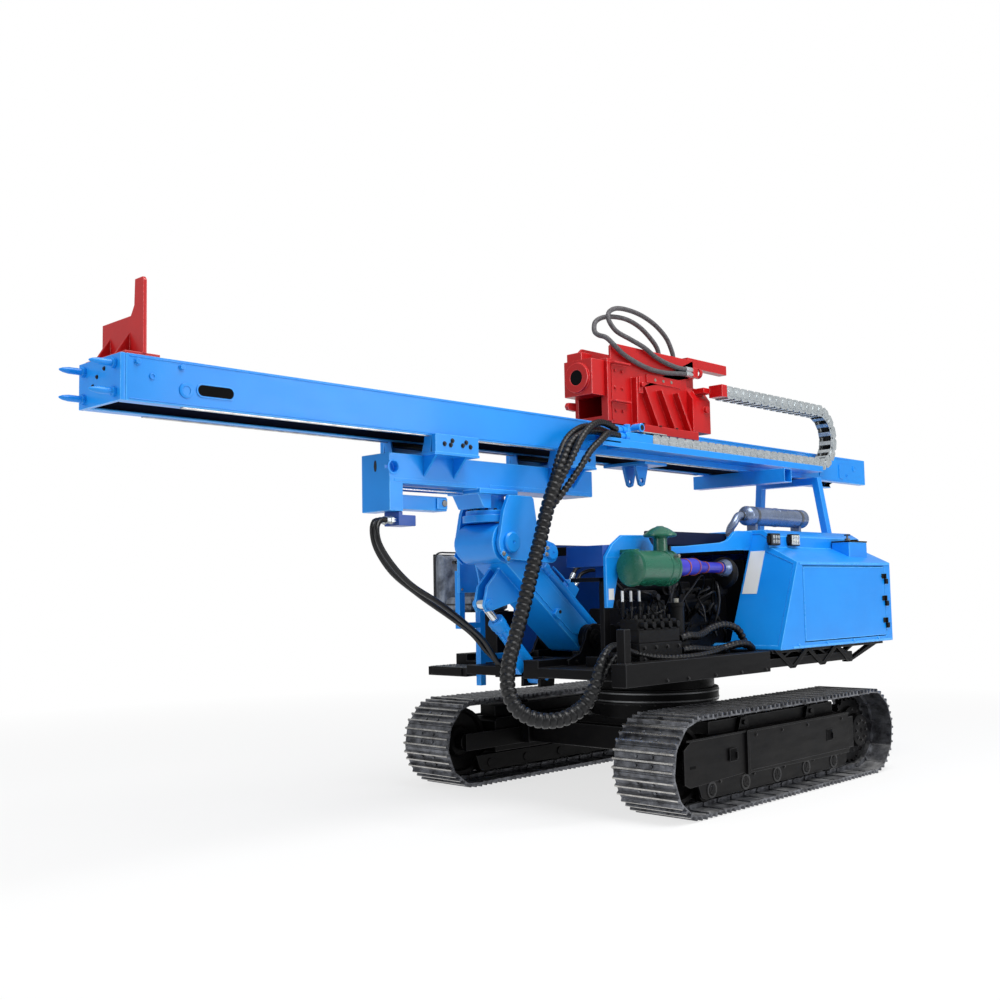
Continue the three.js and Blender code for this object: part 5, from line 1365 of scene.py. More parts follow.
TOP_FAN = [
    [(0.252, -0.0753, 2.412), (0.252, -0.17, 2.428), (0.262, -0.30, 2.432), (0.292, -0.45, 2.395),
     (0.325, -0.60, 2.31), (0.352, -0.70, 2.20),
     (0.360, -0.765, 2.07), (0.366, -0.825, 1.91)],
    [(0.320, -0.0753, 2.425), (0.322, -0.16, 2.45), (0.345, -0.28, 2.452), (0.39, -0.43, 2.405), (0.425, -0.57, 2.31),
     (0.43, -0.67, 2.18),
     (0.41, -0.755, 2.04), (0.378, -0.825, 1.90)],
    [(0.340, -0.0753, 2.380), (0.350, -0.15, 2.385), (0.385, -0.25, 2.375), (0.425, -0.37, 2.32),
     (0.445, -0.50, 2.24), (0.443, -0.61, 2.12),
     (0.42, -0.72, 1.99), (0.376, -0.825, 1.86)]]
for index, route in enumerate(TOP_FAN):
    ribbed(f"fan_hose_{index + 1}", route, 0.042, 0.034)
DECK_FAN = [
    [(0.640, -1.010, 0.640), (0.70, -0.90, 0.72), (0.755, -0.82, 0.845), (0.785, -0.74, 0.945), (0.775, -0.62, 0.985),
     (0.72, -0.48, 0.965),
     (0.735, -0.25, 0.925), (0.775, 0.02, 0.915), (0.78, 0.30, 0.93), (0.75, 0.46, 0.945), (0.70, 0.60, 0.897)],
    [(0.600, -1.060, 0.625), (0.66, -0.965, 0.66), (0.70, -0.875, 0.76), (0.715, -0.80, 0.875), (0.71, -0.72, 0.955),
     (0.66, -0.60, 0.955),
     (0.60, -0.47, 0.925), (0.52, -0.34, 0.92), (0.46, -0.22, 0.897)]]
for index, route in enumerate(DECK_FAN):
    ribbed(f"deck_hose_{index + 1}", route, 0.042, 0.034)

# %% Build the blue fittings at the bulkhead
parts = [refined("hose_bulkhead", "blue", 0.004)]
for x, z in ((0.252, 2.412), (0.320, 2.425), (0.340, 2.380), (0.290, 2.392)):
    fitting = lathe([(-0.07, 0.0), (-0.07, 0.024), (-0.055, 0.026), (-0.045, 0.026), (-0.043, 0.02), (-0.02, 0.02),
                     (-0.018, 0.028), (0.02, 0.028),
                     (0.02, 0.0)], "y", (x, z), "blue", 12)
    fitting.data.transform(Matrix.Translation((0, -0.005, 0)))
    parts.append(fitting)
parts += [rod("x", 0.03, 0.30, 0.375, (0.14, 2.452), "blue", 20), rod("x", 0.019, 0.374, 0.377, (0.14, 2.452),
                                                                      "rubber", 16, 0),
          rod("z", 0.022, 2.40, 2.468, (0.33, 0.03), "blue", 16), rod("z", 0.026, 2.40, 2.445, (0.27, -0.02), "blue",
                                                                      6),
          bar((0.235, 0.37), (-0.28, -0.09), (2.325, 2.34), "blue", 0.003), bar((0.356, 0.37), (-0.28, 0.0),
                                                                                (2.30, 2.36), "blue", 0.003),
          rod("y", 0.018, -0.16, -0.09, (0.225, 2.40), "blue", 16),
          copies(bolt(0.011, "bolt"), [((0.30, 0.08, 2.4123), (0, 0, 1)), ((0.34, 0.2, 2.4123), (0, 0, 1))])]
placed(parts, "bulkhead_fittings", "mast", "blue_paint", "hose_bulkhead")
cover = bar((0.236, 0.364), (0.10, 0.44), (2.4235, 2.43), "zinc", 0.002)
placed(cover, "chain_end_cover", "mast", "chain_zinc")

# %% [markdown]
# ## Engine bay
# The bay is open to the left. Inside stand a black engine with ribbed cases, a row of spool valves with
# levers, a filter can, pumps, pulleys, and many black pipes. The engine is built from ribbed boxes and
# turned parts inside the room of its measured block.

# %% Build the engine
parts = [bar((-0.32, 0.36), (0.36, 0.78), (0.90, 1.22), "cast", 0.012), bar((-0.24, 0.30), (0.38, 0.76), (1.21, 1.40),
                                                                            "cast", 0.01),
         bar((-0.19, 0.25), (0.42, 0.72), (1.39, 1.50), "cast", 0.014), bar((-0.15, 0.20), (0.47, 0.67),
                                                                            (1.49, 1.555), "cast", 0.016)]
for k in range(7):
    parts.append(bar((0.355, 0.378), (0.385 + k * 0.056, 0.397 + k * 0.056), (0.93, 1.19), "cast", 0.003))
for k in range(4):
    y = 0.45 + k * 0.085
    parts.append(rod("x", 0.03, 0.24, 0.33, (y, 1.33), "cast", 14))
    parts.append(rod("x", 0.02, 0.32, 0.40, (y, 1.33), "cast", 14))
parts += [rod("x", 0.085, 0.37, 0.43, (0.62, 1.02), "cast", 28), rod("x", 0.055, 0.36, 0.428, (0.43, 1.12), "cast",
                                                                     24),
          rod("x", 0.04, 0.36, 0.428, (0.72, 1.20), "cast", 20), rod("z", 0.048, 0.93, 1.12, (0.405, 0.50), "cast",
                                                                     20),
          rod("y", 0.055, 0.40, 0.66, (0.385, 1.26), "cast", 20), bar((0.33, 0.42), (0.35, 0.44), (1.18, 1.34),
                                                                      "cast", 0.006),
          lathe([(0.355, 0.11), (0.355, 0.155), (0.372, 0.16), (0.376, 0.145), (0.39, 0.145), (0.394, 0.16),
                 (0.411, 0.155), (0.411, 0.03), (0.355, 0.03)],
                "x", (0.70, 1.03), "cast", 28)]
parts.append(copies(bolt(0.012, "dark_bolt"), [((0.379, 0.38 + 0.06 * k, z), (1, 0, 0)) for k in range(7)
                                               for z in (0.915, 1.205)]))
placed(parts, "engine_built", "upper", "chassis_black", "engine_block")

# %% Stand the spool valves, their levers and the filter
parts = [bar((0.565, 0.735), (-0.43, 0.02), (0.8738, 1.02), "cast", 0.006), bar((0.575, 0.725), (-0.42, 0.01),
                                                                                (1.02, 1.10), "cast", 0.005)]
for k in range(5):
    y = -0.39 + k * 0.086
    parts += [bar((0.58, 0.72), (y - 0.034, y + 0.034), (1.095, 1.165), "cast", 0.006),
              rod("x", 0.021, 0.70, 0.76, (y, 1.13), "cast", 14), rod("x", 0.018, 0.54, 0.60, (y, 1.13), "cast", 14),
              rod("z", 0.014, 1.16, 1.20, (0.62, y), "cast", 8), rod("z", 0.012, 1.16, 1.19, (0.68, y), "dark_bolt",
                                                                     6),
              rod("z", 0.005, 1.16, 1.225, (0.65, y), "dark_bolt", 8), rod("z", 0.010, 1.22, 1.245, (0.65, y),
                                                                           "rubber", 12)]
parts += [bar((0.56, 0.68), (0.06, 0.19), (0.8738, 1.06), "cast", 0.006), rod("z", 0.052, 1.055, 1.24, (0.62, 0.125),
                                                                              "cast", 20),
          rod("z", 0.058, 1.235, 1.262, (0.62, 0.125), "cast", 20), rod("z", 0.02, 1.26, 1.29, (0.62, 0.125), "bolt",
                                                                        6),
          copies(bolt(0.012, "dark_bolt"), [((0.735, -0.38 + 0.12 * k, z), (1, 0, 0)) for k in range(4)
                                            for z in (0.92, 0.99)])]
placed(parts, "valve_bank_built", "upper", "chassis_black", "valve_bank")
print("engine and valves built")

# %% [markdown]
# The loose-looking pipes in the bay are fixed lines between fittings. A seeded draw spreads them, so every
# run lays the same ones.

# %% Run the pipes of the bay
draw = random.Random(11)
parts = []
for k in range(22):
    y0 = -0.34 + 0.052 * k + draw.uniform(-0.02, 0.02)
    x0, z0 = draw.uniform(0.44, 0.58), draw.uniform(0.96, 1.22)
    y1 = min(0.84, y0 + draw.uniform(0.05, 0.5))
    z1 = draw.uniform(1.05, 1.42)
    line = [(x0, y0, z0), (x0 + draw.uniform(-0.05, 0.05), y0 + draw.uniform(-0.06, 0.06),
                           z0 + draw.uniform(0.03, 0.12))]
    line += [(draw.uniform(0.42, 0.56), y0 + (y1 - y0) * share, max(z0, z1) + draw.uniform(-0.12, 0.08))
             for share in (0.3, 0.65)]
    line += [(0.45, y1, z1), (0.42, y1 + 0.01, z1 - 0.06)]
    # Some pipes take the near-black of the painted shade.
    parts.append(pipe(line, draw.choice((0.010, 0.014, 0.018, 0.024)),
                      draw.choice(("rubber", "cast", "shade_black", "rubber")), spacing=0.022, sides=8))
for k in range(3):
    parts.append(rod("z", 0.0085, 1.275, 1.345, (0.60, -0.415 + 0.086 * k), "white", 12))
    parts.append(rod("z", 0.011, 1.18, 1.276, (0.60, -0.415 + 0.086 * k), "cast", 12))
for y, z, r in ((0.14, 1.30, 0.045), (0.20, 1.13, 0.06), (0.28, 1.36, 0.05), (0.84, 1.2, 0.07)):
    parts.append(rod("x", r, 0.30, 0.44, (y, z), "cast", 20))
    parts.append(rod("x", r * 0.55, 0.43, 0.47, (y, z), "dark_bolt", 6))
for y0, y1, z0, z1 in ((0.10, 0.30, 0.90, 1.28), (0.85, 1.05, 0.95, 1.30)):
    parts.append(bar((0.22, 0.41), (y0, y1), (z0, z1), "cast", 0.01))
# Three dark bars high in the bay, one navy and two near-black, are painted shade under the hood top.
parts += [bar((0.30, 0.36), (0.22, 1.16), (1.655, 1.752), "shade_navy", 0.008), bar((-0.50, 0.50), (1.10, 1.16),
                                                                              (1.60, 1.70), "shade_black", 0.004),
          bar((-0.50, 0.36), (0.02, 0.06), (1.60, 1.66), "shade_black", 0.004)]
placed(parts, "bay_pipes_and_pumps", "upper", "chassis_black")

# %% Lay the corrugated pipes at the foot of the bay
for index, route in enumerate((
        [(0.705, 0.035, 1.03), (0.715, 0.12, 1.045), (0.70, 0.24, 1.04), (0.665, 0.36, 1.05), (0.65, 0.48, 1.08),
         (0.665, 0.62, 1.10),
         (0.69, 0.75, 1.06), (0.70, 0.83, 0.94)],
        [(0.715, 0.035, 0.955), (0.725, 0.13, 0.96), (0.72, 0.26, 0.95), (0.715, 0.38, 0.94), (0.74, 0.50, 0.95),
         (0.76, 0.62, 0.97),
         (0.765, 0.74, 0.965), (0.75, 0.825, 0.93)])):
    ribbed(f"bay_hose_{index + 1}", route, 0.05, 0.036)

# %% [markdown]
# The air cleaner is a green can with lipped ends, a clamp band and a domed rain cap. A violet hose with
# orange clamps carries the air from it to a grey ring on the engine.

# %% Build the air cleaner and its hose
CLEAN_X, CLEAN_Z = 0.672, 1.487
parts = [lathe([(-0.425, 0.0), (-0.425, 0.098), (-0.418, 0.108), (-0.412, 0.117), (-0.402, 0.117), (-0.398, 0.111),
                (-0.37, 0.111),
                (-0.12, 0.111), (-0.115, 0.117), (-0.100, 0.117), (-0.095, 0.111), (-0.045, 0.111), (-0.04, 0.117),
                (-0.026, 0.117),
                (-0.020, 0.108), (-0.010, 0.09), (-0.008, 0.055), (0.03, 0.052), (0.03, 0.0)], "y",
               (CLEAN_X, CLEAN_Z), "green", 44),
         lathe([(1.57, 0.058), (1.59, 0.046), (1.675, 0.044), (1.683, 0.055), (1.687, 0.100), (1.692, 0.107),
                (1.703, 0.107), (1.711, 0.098), (1.728, 0.075),
                (1.742, 0.052), (1.750, 0.03), (1.756, 0.02), (1.757, 0.0), (1.57, 0.0)], "z", (CLEAN_X, -0.10),
               "green", 40),
         bar((0.5453, 0.672), (-0.36, -0.32), (1.585, 1.606), "green", 0.003), bar((0.5453, 0.60), (-0.35, -0.29),
                                                                                   (1.42, 1.46), "green", 0.003),
         # A thin line in the lighter green edge finish is a painted highlight.
         bar((0.64, 0.704), (-0.25, -0.246), (1.374, 1.378), "green_edge", 0.001),
         rod("x", 0.012, 0.76, 0.80, (-0.07, 1.56), "bolt", 8), rod("z", 0.014, 1.595, 1.63, (CLEAN_X, -0.005),
                                                                    "dark_bolt", 12)]
placed(parts, "air_cleaner_can", "upper", "green_paint", "air_cleaner")
hose_route = [(0.672, 0.0305, 1.487), (0.668, 0.10, 1.490), (0.640, 0.27, 1.497), (0.600, 0.42, 1.497),
              (0.555, 0.60, 1.496), (0.515, 0.78, 1.495), (0.502, 0.862, 1.494)]
hose_line = smooth_line(hose_route, 0.02)
swell = []
for index in range(len(hose_line)):
    along = index / (len(hose_line) - 1)
    swell.append(0.86 + 0.26 * min(1.0, along / 0.12) - 0.38 * max(0.0, min(1.0, (along - 0.36) / 0.22)))
intake = hose_curve("intake_silicone_hose", hose_line, 0.100, "intake", swell, sides=18)
pick(intake)
bpy.ops.object.convert(target="MESH")
intake = bpy.context.object
clamps = []
for share, radius in ((0.03, 0.0465), (0.17, 0.0565), (0.34, 0.0565), (0.60, 0.0385), (0.93, 0.0385)):
    index = round(share * (len(hose_line) - 1))
    here, there = hose_line[max(index - 1, 0)], hose_line[min(index + 1, len(hose_line) - 1)]
    band = lathe([(-0.006, radius), (-0.006, radius + 0.003), (0.006, radius + 0.003), (0.006, radius)], "z", (0, 0),
                 "clamp", 28)
    clamps.append(aimed(band, hose_line[index], there - here, "Y"))
placed([intake] + clamps, "intake_hose_clamped", "upper", "intake_rubber", "intake_hose")
ring = lathe([(-0.03, 0.03), (-0.03, 0.05), (0.0, 0.055), (0.012, 0.062), (0.03, 0.062), (0.03, 0.03)], "y",
             (0.502, 1.494), "muffler", 32)
ring.data.transform(Matrix.Translation((0, 0.872, 0)))
snail = lathe([(0.90, 0.0), (0.90, 0.07), (0.915, 0.10), (0.95, 0.115), (0.985, 0.10), (1.0, 0.07), (1.0, 0.0)], "y",
              (0.46, 1.46), "cast", 32)
branch = bar((0.24, 0.46), (0.90, 1.0), (1.30, 1.42), "cast", 0.012)
placed([ring, snail, branch], "intake_ring_and_turbine", "upper", "muffler_steel")
print("air path built")

# %% [markdown]
# ## Rear hood details
# The hood is folded sheet. Two square work lamps with black frames stand on the raised brow, the slanted front wall
# carries a bare white plate, and the side door turns on three black hinges. Behind the brow sits a small tank with a
# black lid. A seam strip in the lighter edge finish follows each fold as a painted highlight, and a thin darker line
# on the far side is painted shade.

# %% Fit the work lamps and the bare plate
def wall_point(z, out=0.0):
    """A point (y, z) on the hood's slanted front wall, moved outward."""
    return (0.86 + (z - 0.92) * 0.438 - 0.916 * out, z + 0.401 * out)


lamp_parts = []
for y, lens in ((1.21, "smoked"), (1.485, "lens")):
    lamp_parts += [bar((0.7055, 0.742), (y - 0.064, y + 0.064), (1.652, 1.738), "black", 0.006),
                   bar((0.742, 0.7455), (y - 0.055, y + 0.055), (1.661, 1.729), lens, 0.002)]
    for column in range(3):
        for row in range(2):
            lamp_parts.append(rod("x", 0.0125, 0.7454, 0.7472, (y - 0.034 + 0.034 * column, 1.679 + 0.032 * row),
                                  "zinc", 14, 0.001))
    lamp_parts += [bar((0.7055, 0.73), (y - 0.071, y - 0.064), (1.67, 1.72), "dark_bolt", 0.002),
                   bar((0.7055, 0.73), (y + 0.064, y + 0.071), (1.67, 1.72), "dark_bolt", 0.002)]
placed(lamp_parts, "work_lamps", "upper", "chassis_black")
blank = plate([wall_point(1.306, 0.0004), wall_point(1.613, 0.0004), wall_point(1.613, 0.0022),
               wall_point(1.306, 0.0022)],
              "x", 0.557, 0.677, "white", 0.0005)
small = bar((0.545, 0.5462), (-0.482, -0.43), (1.29, 1.36), "white", 0.0003)
placed([blank, small], "bare_plates", "upper", "blue_paint")

# %% Add seams, hinges and the tank behind the brow
parts = []
for side in (-1, 1):
    parts += [bar(sorted((side * 0.9555, side * 0.9585)), (1.15, 2.53), (1.508, 1.5215), "blue_edge", 0.001),
              bar(sorted((side * 0.9555, side * 0.9585)), (1.02, 2.53), (0.925, 0.940), "blue_edge", 0.001),
              copies(bolt(0.009, "blue_edge"), [((side * 0.9555, y, 0.945), (side, 0, 0)) for y in (1.1, 1.5, 1.9,
                                                                                                    2.3)])]
parts += [bar((-0.955, -0.952), (1.22, 2.40), (1.00, 1.004), "shade_blue", 0.0005),
          bar((-0.62, 0.62), (1.30, 1.306), (1.770, 1.7725), "blue_edge", 0.0008),
          bar((-0.62, 0.62), (2.20, 2.206), (1.770, 1.7725), "blue_edge", 0.0008)]
placed(parts, "hood_seams", "upper", "blue_paint")
HINGE_Z = (1.06, 1.23, 1.40)
parts = []
for z in HINGE_Z:
    parts += [rod("z", 0.0098, z - 0.040, z - 0.0005, (0.964, 2.447), "black", 14, 0.001),
              bar((0.9583, 0.9618), (2.449, 2.50), (z - 0.040, z), "black", 0.001)]
placed(parts, "hinge_fixed_halves", "upper", "chassis_black")
parts = []
for z in HINGE_Z:
    parts += [rod("z", 0.0098, z + 0.0008, z + 0.040, (0.964, 2.447), "black", 14, 0.001),
              bar((0.9583, 0.9618), (2.394, 2.445), (z + 0.0008, z + 0.040), "black", 0.001)]
# Lighter lines along the door's top, bottom and front edge are painted highlight.
for box_y, box_z in (((1.20, 2.43), (0.968, 0.974)), ((1.20, 2.43), (1.486, 1.492)), ((1.20, 1.206), (0.968, 1.492))):
    parts.append(bar((0.9552, 0.9568), box_y, box_z, "blue_edge", 0.0006))
placed(parts, "door_hinges_and_latch", "hood_door", "chassis_black")
parts = [plate([(0.715, 1.60), (0.86, 1.55), (0.86, 1.688), (0.715, 1.688)], "y", 2.08, 2.37, "blue", 0.006),
         bar((0.712, 0.863), (2.077, 2.373), (1.686, 1.697), "black", 0.003),
         rod("z", 0.022, 1.695, 1.718, (0.79, 2.19), "pin", 20), rod("z", 0.008, 1.71, 1.752, (0.79, 2.19), "pin",
                                                                     10),
         bar((0.765, 0.815), (2.185, 2.195), (1.740, 1.750), "black", 0.002),
         rod("z", 0.028, 1.695, 1.712, (0.79, 2.30), "black", 20)]
placed(parts, "tank_and_filler", "upper", "blue_paint")
print("hood fitted")

# %% [markdown]
# The muffler is a long can with rolled end caps, two straps and a lighter seam, joined by a bent pipe.

# %% Turn the muffler
MUFF_X, MUFF_Z = 0.42, 1.888
parts = [lathe([(1.302, 0.0), (1.302, 0.034), (1.316, 0.056), (1.330, 0.068), (1.338, 0.0737), (1.352, 0.0737),
                (1.356, 0.071), (1.74, 0.071),
                (1.742, 0.0737), (1.756, 0.0737), (1.758, 0.071), (2.126, 0.071), (2.130, 0.0737), (2.144, 0.0737),
                (2.152, 0.067), (2.168, 0.05),
                (2.178, 0.03), (2.178, 0.0)], "y", (MUFF_X, MUFF_Z), "muffler", 48),
         pipe([(MUFF_X, 1.33, MUFF_Z), (MUFF_X, 1.23, MUFF_Z - 0.006), (MUFF_X, 1.17, MUFF_Z - 0.06),
               (MUFF_X - 0.02, 1.152, 1.79),
               (MUFF_X - 0.035, 1.15, 1.73)], 0.058, "muffler", spacing=0.02, sides=20),
         lathe([(1.268, 0.0), (1.268, 0.036), (1.282, 0.036), (1.282, 0.0)], "y", (MUFF_X, MUFF_Z - 0.003), "pin",
               24)]
for y in (1.42, 2.06):
    parts += [bar((MUFF_X - 0.04, MUFF_X + 0.04), (y - 0.015, y + 0.015), (1.7703, MUFF_Z - 0.06), "muffler", 0.003),
              lathe([(y - 0.014, 0.070), (y - 0.014, 0.0739), (y + 0.014, 0.0739), (y + 0.014, 0.070)], "y",
                    (MUFF_X, MUFF_Z), "pin", 48),
              bar((MUFF_X - 0.065, MUFF_X + 0.065), (y - 0.02, y + 0.02), (1.7703, 1.776), "muffler", 0.002)]
placed(parts, "muffler_can", "upper", "muffler_steel", "muffler")

# %% [markdown]
# ## Operator's station
# A folded blue panel stands before the seat, with bolts at its corners and a row of levers on the seat side.
# The seat is two stuffed pads in grey cover with black edges. The floor is tread plate: its raised bars are
# small, so each is a plain six-sided bar.

# %% Dress the console
parts = [copies(bolt(0.007, "bolt"), [((-0.505, y, z), (1, 0, 0)) for y in (-0.74, -0.42) for z in (1.374, 1.66)])]
for k in range(5):
    y = -0.70 + 0.06 * k
    parts += [rod("x", 0.016, -0.535, -0.519, (y, 1.56), "black", 14), rod("x", 0.005, -0.60, -0.53, (y, 1.56), "pin",
                                                                           8),
              rod("x", 0.013, -0.632, -0.598, (y, 1.56), "rubber", 14)]
for k in range(3):
    y = -0.70 + 0.09 * k
    parts += [lathe([(-0.537, 0.0), (-0.537, 0.024), (-0.533, 0.03), (-0.519, 0.03), (-0.519, 0.0)], "x", (y, 1.63),
                    "pin", 24),
              rod("x", 0.023, -0.5385, -0.5365, (y, 1.63), "white", 20, 0)]
# The lighter rims of the console panel are painted highlight along its folded edges.
parts += [bar((-0.53, -0.519), (-0.74, -0.40), (1.352, 1.366), "blue_edge", 0.002),
          bar((-0.53, -0.519), (-0.76, -0.745), (1.352, 1.682), "blue_edge", 0.002),
          bar((-0.5192, -0.5042), (-0.7598, -0.4002), (1.676, 1.6825), "blue_edge", 0.002),
          bar((-0.53, -0.519), (-0.62, -0.44), (1.43, 1.50), "black", 0.004), rod("x", 0.009, -0.545, -0.529,
                                                                                  (-0.58, 1.465), "red", 12),
          rod("x", 0.009, -0.545, -0.529, (-0.53, 1.465), "green", 12)]
placed(parts, "console_levers", "upper", "blue_paint")
thin_route = [(-0.503, -0.66, 1.60), (-0.47, -0.665, 1.585), (-0.42, -0.672, 1.48), (-0.39, -0.672, 1.36),
              (-0.345, -0.63, 1.24),
              (-0.30, -0.58, 1.14), (-0.285, -0.50, 1.00), (-0.28, -0.42, 0.90), (-0.28, -0.40, 0.876)]
thin_line = smooth_line(thin_route, 0.02)
thin = hose_curve("thin_blue_line", thin_line, 0.014, "blue_edge", sides=8)
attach(thin, "upper")
print("console line length", round(line_length(thin_line), 3))

# %% Lay the tread plate
parts = [refined("foot_platform", "black", 0.003), bar((-0.94, -0.575), (-0.64, -0.41), (0.8432, 0.8455), "tread",
                                                       0.001),
         bar((-0.90, -0.61), (-0.66, -0.655), (0.79, 0.835), "black", 0.002)]
bars = []
for column in range(11):
    for row in range(7):
        x, y = -0.925 + 0.033 * column, -0.622 + 0.033 * row
        spin = 0.7 if (column + row) % 2 else -0.7
        spot = bar((-0.010, 0.010), (-0.0025, 0.0025), (0.0, 0.0018), "tread", 0)
        spot.data.transform(Matrix.Translation((x, y, 0.8455)) @ Matrix.Rotation(spin, 4, "Z"))
        bars.append(spot)
parts.append(joined(bars))
placed(parts, "foot_platform_tread", "upper", "chassis_black", "foot_platform")
print("tread laid")

# %% [markdown]
# Each pad starts as its measured block, a little smaller, remeshed evenly and blown up as cloth, with the
# edges gathered by a piping. That is close to how a foam pad fills its sewn cover.

# %% Stuff the seat pads
def stuffed(node_name, shrink, frames):
    """A pad: the measured block as cloth, inflated for some frames, then smoothed."""
    low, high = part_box(node_name)
    middle = [(a + b) / 2 for a, b in zip(low, high)]
    half = [(b - a) / 2 - shrink for a, b in zip(low, high)]
    block = bar((middle[0] - half[0], middle[0] + half[0]), (middle[1] - half[1], middle[1] + half[1]),
                (middle[2] - half[2], middle[2] + half[2]), "cover", 0.012)
    applied(block, "REMESH", mode="VOXEL", voxel_size=0.009)
    rest = [v.co.copy() for v in block.data.vertices]
    pick(block)
    cloth = block.modifiers.new("cover", "CLOTH")
    cloth.settings.quality = 5
    cloth.settings.use_pressure = True
    cloth.settings.uniform_pressure_force = 4.0
    cloth.settings.tension_stiffness = 12
    cloth.settings.bending_stiffness = 0.3
    cloth.settings.effector_weights.gravity = 0
    cloth.point_cache.frame_start, cloth.point_cache.frame_end = 1, frames
    for step in range(1, frames + 1):
        scene.frame_set(step)
        bpy.context.view_layer.update()
    bpy.ops.object.modifier_apply(modifier=cloth.name)
    scene.frame_set(1)
    for vertex, start in zip(block.data.vertices, rest):
        move = vertex.co - start
        if move.length > shrink * 1.1:
            vertex.co = start + move.normalized() * shrink * 1.1
    fold = random.Random(5)
    ridges = [(fold.uniform(20, 55), fold.uniform(0, 6.28),
               Vector((fold.uniform(-1, 1), fold.uniform(-1, 1), fold.uniform(-1, 1))).normalized())
              for _ in range(7)]
    block.data.update()
    normals = [v.normal.copy() for v in block.data.vertices]
    for vertex, normal in zip(block.data.vertices, normals):
        crease = sum(abs(math.sin(vertex.co.dot(way) * rate + shift)) ** 4 for rate, shift,
                     way in ridges) / len(ridges)
        vertex.co -= normal * 0.018 * crease
    applied(block, "SUBSURF", levels=1, render_levels=1)
    coated(block, "cover")
    for face in block.data.polygons:
        face.use_smooth = True
    return block, middle, half


PAD_SHRINK, PAD_FRAMES = 0.012, 14
for node_name, name in (("seat_cushion", "seat_pad"), ("seat_back", "back_pad")):
    pad, middle, half = stuffed(node_name, PAD_SHRINK, PAD_FRAMES)
    placed(pad, name, "upper", "seat_cover", node_name)
    flat = min(range(3), key=lambda axis: half[axis])
    ways = [axis for axis in range(3) if axis != flat]
    edge = []
    for angle in turns(32):
        spot = list(middle)
        for axis, value in zip(ways, (math.cos(angle), math.sin(angle))):
            spot[axis] += (half[axis] + 0.003) * max(-1.0, min(1.0, value * 1.32))
        edge.append(tuple(spot))
    edge.append(edge[0])
    piping = pipe(edge, 0.012, "seat_black", spacing=0.02, sides=8)
    placed(piping, name + "_piping", "upper", "seat_cover")
    print(name, "faces", len(pad.data.polygons))
shell = bar((-0.998, -0.985), (-0.55, -0.16), (1.25, 1.63), "seat_black", 0.006)
placed(shell, "seat_back_shell", "upper", "seat_cover")
placed(bar((-0.88, -0.62), (-0.54, -0.17), (1.2152, 1.222), "black", 0.002), "seat_pan", "upper", "chassis_black")

# %% [markdown]
# ## Deck and swing bearing
# A ring of bolts holds the swing bearing. The deck has a row of bolts along its edge, a step, a bundle clamp
# for the hoses and lifting eyes.

# %% Bolt the swing bearing and the deck
ring_bolts = [((0.44 * math.cos(a), SLEW_Y + 0.44 * math.sin(a), 0.560), (0, 0, -1)) for a in turns(28)]
parts = [refined("slewing_ring", "black", 0.004), copies(bolt(0.012, "dark_bolt"), ring_bolts)]
for low in (0.575, 0.628):
    parts.append(lathe([(low, 0.4695), (low, 0.4730), (low + 0.010, 0.4730), (low + 0.010, 0.4695)], "z", (0, SLEW_Y),
                       "pin", 64))
placed(parts, "swing_bearing_bolted", "undercarriage", "chassis_black", "slewing_ring")
parts = [copies(bolt(0.010, "dark_bolt"), [((0.9302, y, 0.80), (1, 0, 0)) for y in (-0.42, -0.2, 0.1, 0.4, 0.7)])]
parts += [bar((0.60, 0.80), (-0.60, -0.54), (DECK_Z, 0.895), "black", 0.004),
          copies(bolt(0.012, "bolt"), [((x, -0.57, 0.895), (0, 0, 1)) for x in (0.62, 0.78)]),
          bar((0.56, 0.90), (0.30, 0.306), (DECK_Z, 0.882), "black", 0.002), bar((0.86, 0.92), (0.10, 0.20),
                                                                                 (DECK_Z, 0.89), "black", 0.004),
          rod("z", 0.022, DECK_Z, 0.91, (0.86, 0.55), "pin", 20), rod("z", 0.03, DECK_Z, 0.884, (0.86, 0.55), "black",
                                                                      20)]
placed(parts, "deck_fittings", "upper", "chassis_black")
print("deck and bearing fitted")

# %% [markdown]
# The strip beside the bay is one cut plate: its top edge steps down behind the rain cap and curves up again
# into the brow. A post and a rail hold its front end, and a long diagonal brace stiffens each side of the deck.

# %% Cut the bay strip, its post and the diagonal braces
edge_line = [(-0.50, 1.24), (-0.44, 1.24), (-0.35, 1.56), (1.02, 1.622), (1.165, 1.622), (1.218, 1.740),
             (1.218, 1.762), (1.02, 1.762), (0.985, 1.755),
             (0.955, 1.738), (0.925, 1.714), (0.88, 1.690), (0.806, 1.673), (0.354, 1.640), (0.03, 1.630),
             (0.0, 1.636), (-0.025, 1.655),
             (-0.05, 1.690), (-0.075, 1.705), (-0.33, 1.70), (-0.43, 1.64), (-0.50, 1.56)]
strip = plate(edge_line, "x", 0.5205, 0.5447, "blue", 0.004)
# The lighter seam line on the strip is a painted highlight.
seam = bar((0.5447, 0.5465), (-0.496, -0.36), (1.555, 1.559), "blue_edge", 0.0008)
placed([strip, seam], "bay_strip_cut", "upper", "blue_paint", "hood_strip")
parts = [bar((0.485, 0.519), (-0.50, -0.44), (DECK_Z, 1.4315), "black", 0.003), bar((0.36, 0.519), (-0.50, -0.46),
                                                                                    (DECK_Z, 0.935), "black", 0.003),
         bar((0.25, 0.519), (-0.50, -0.47), (1.405, 1.4315), "black", 0.002)]
placed(parts, "bay_front_post", "upper", "chassis_black", "bay_front_frame")
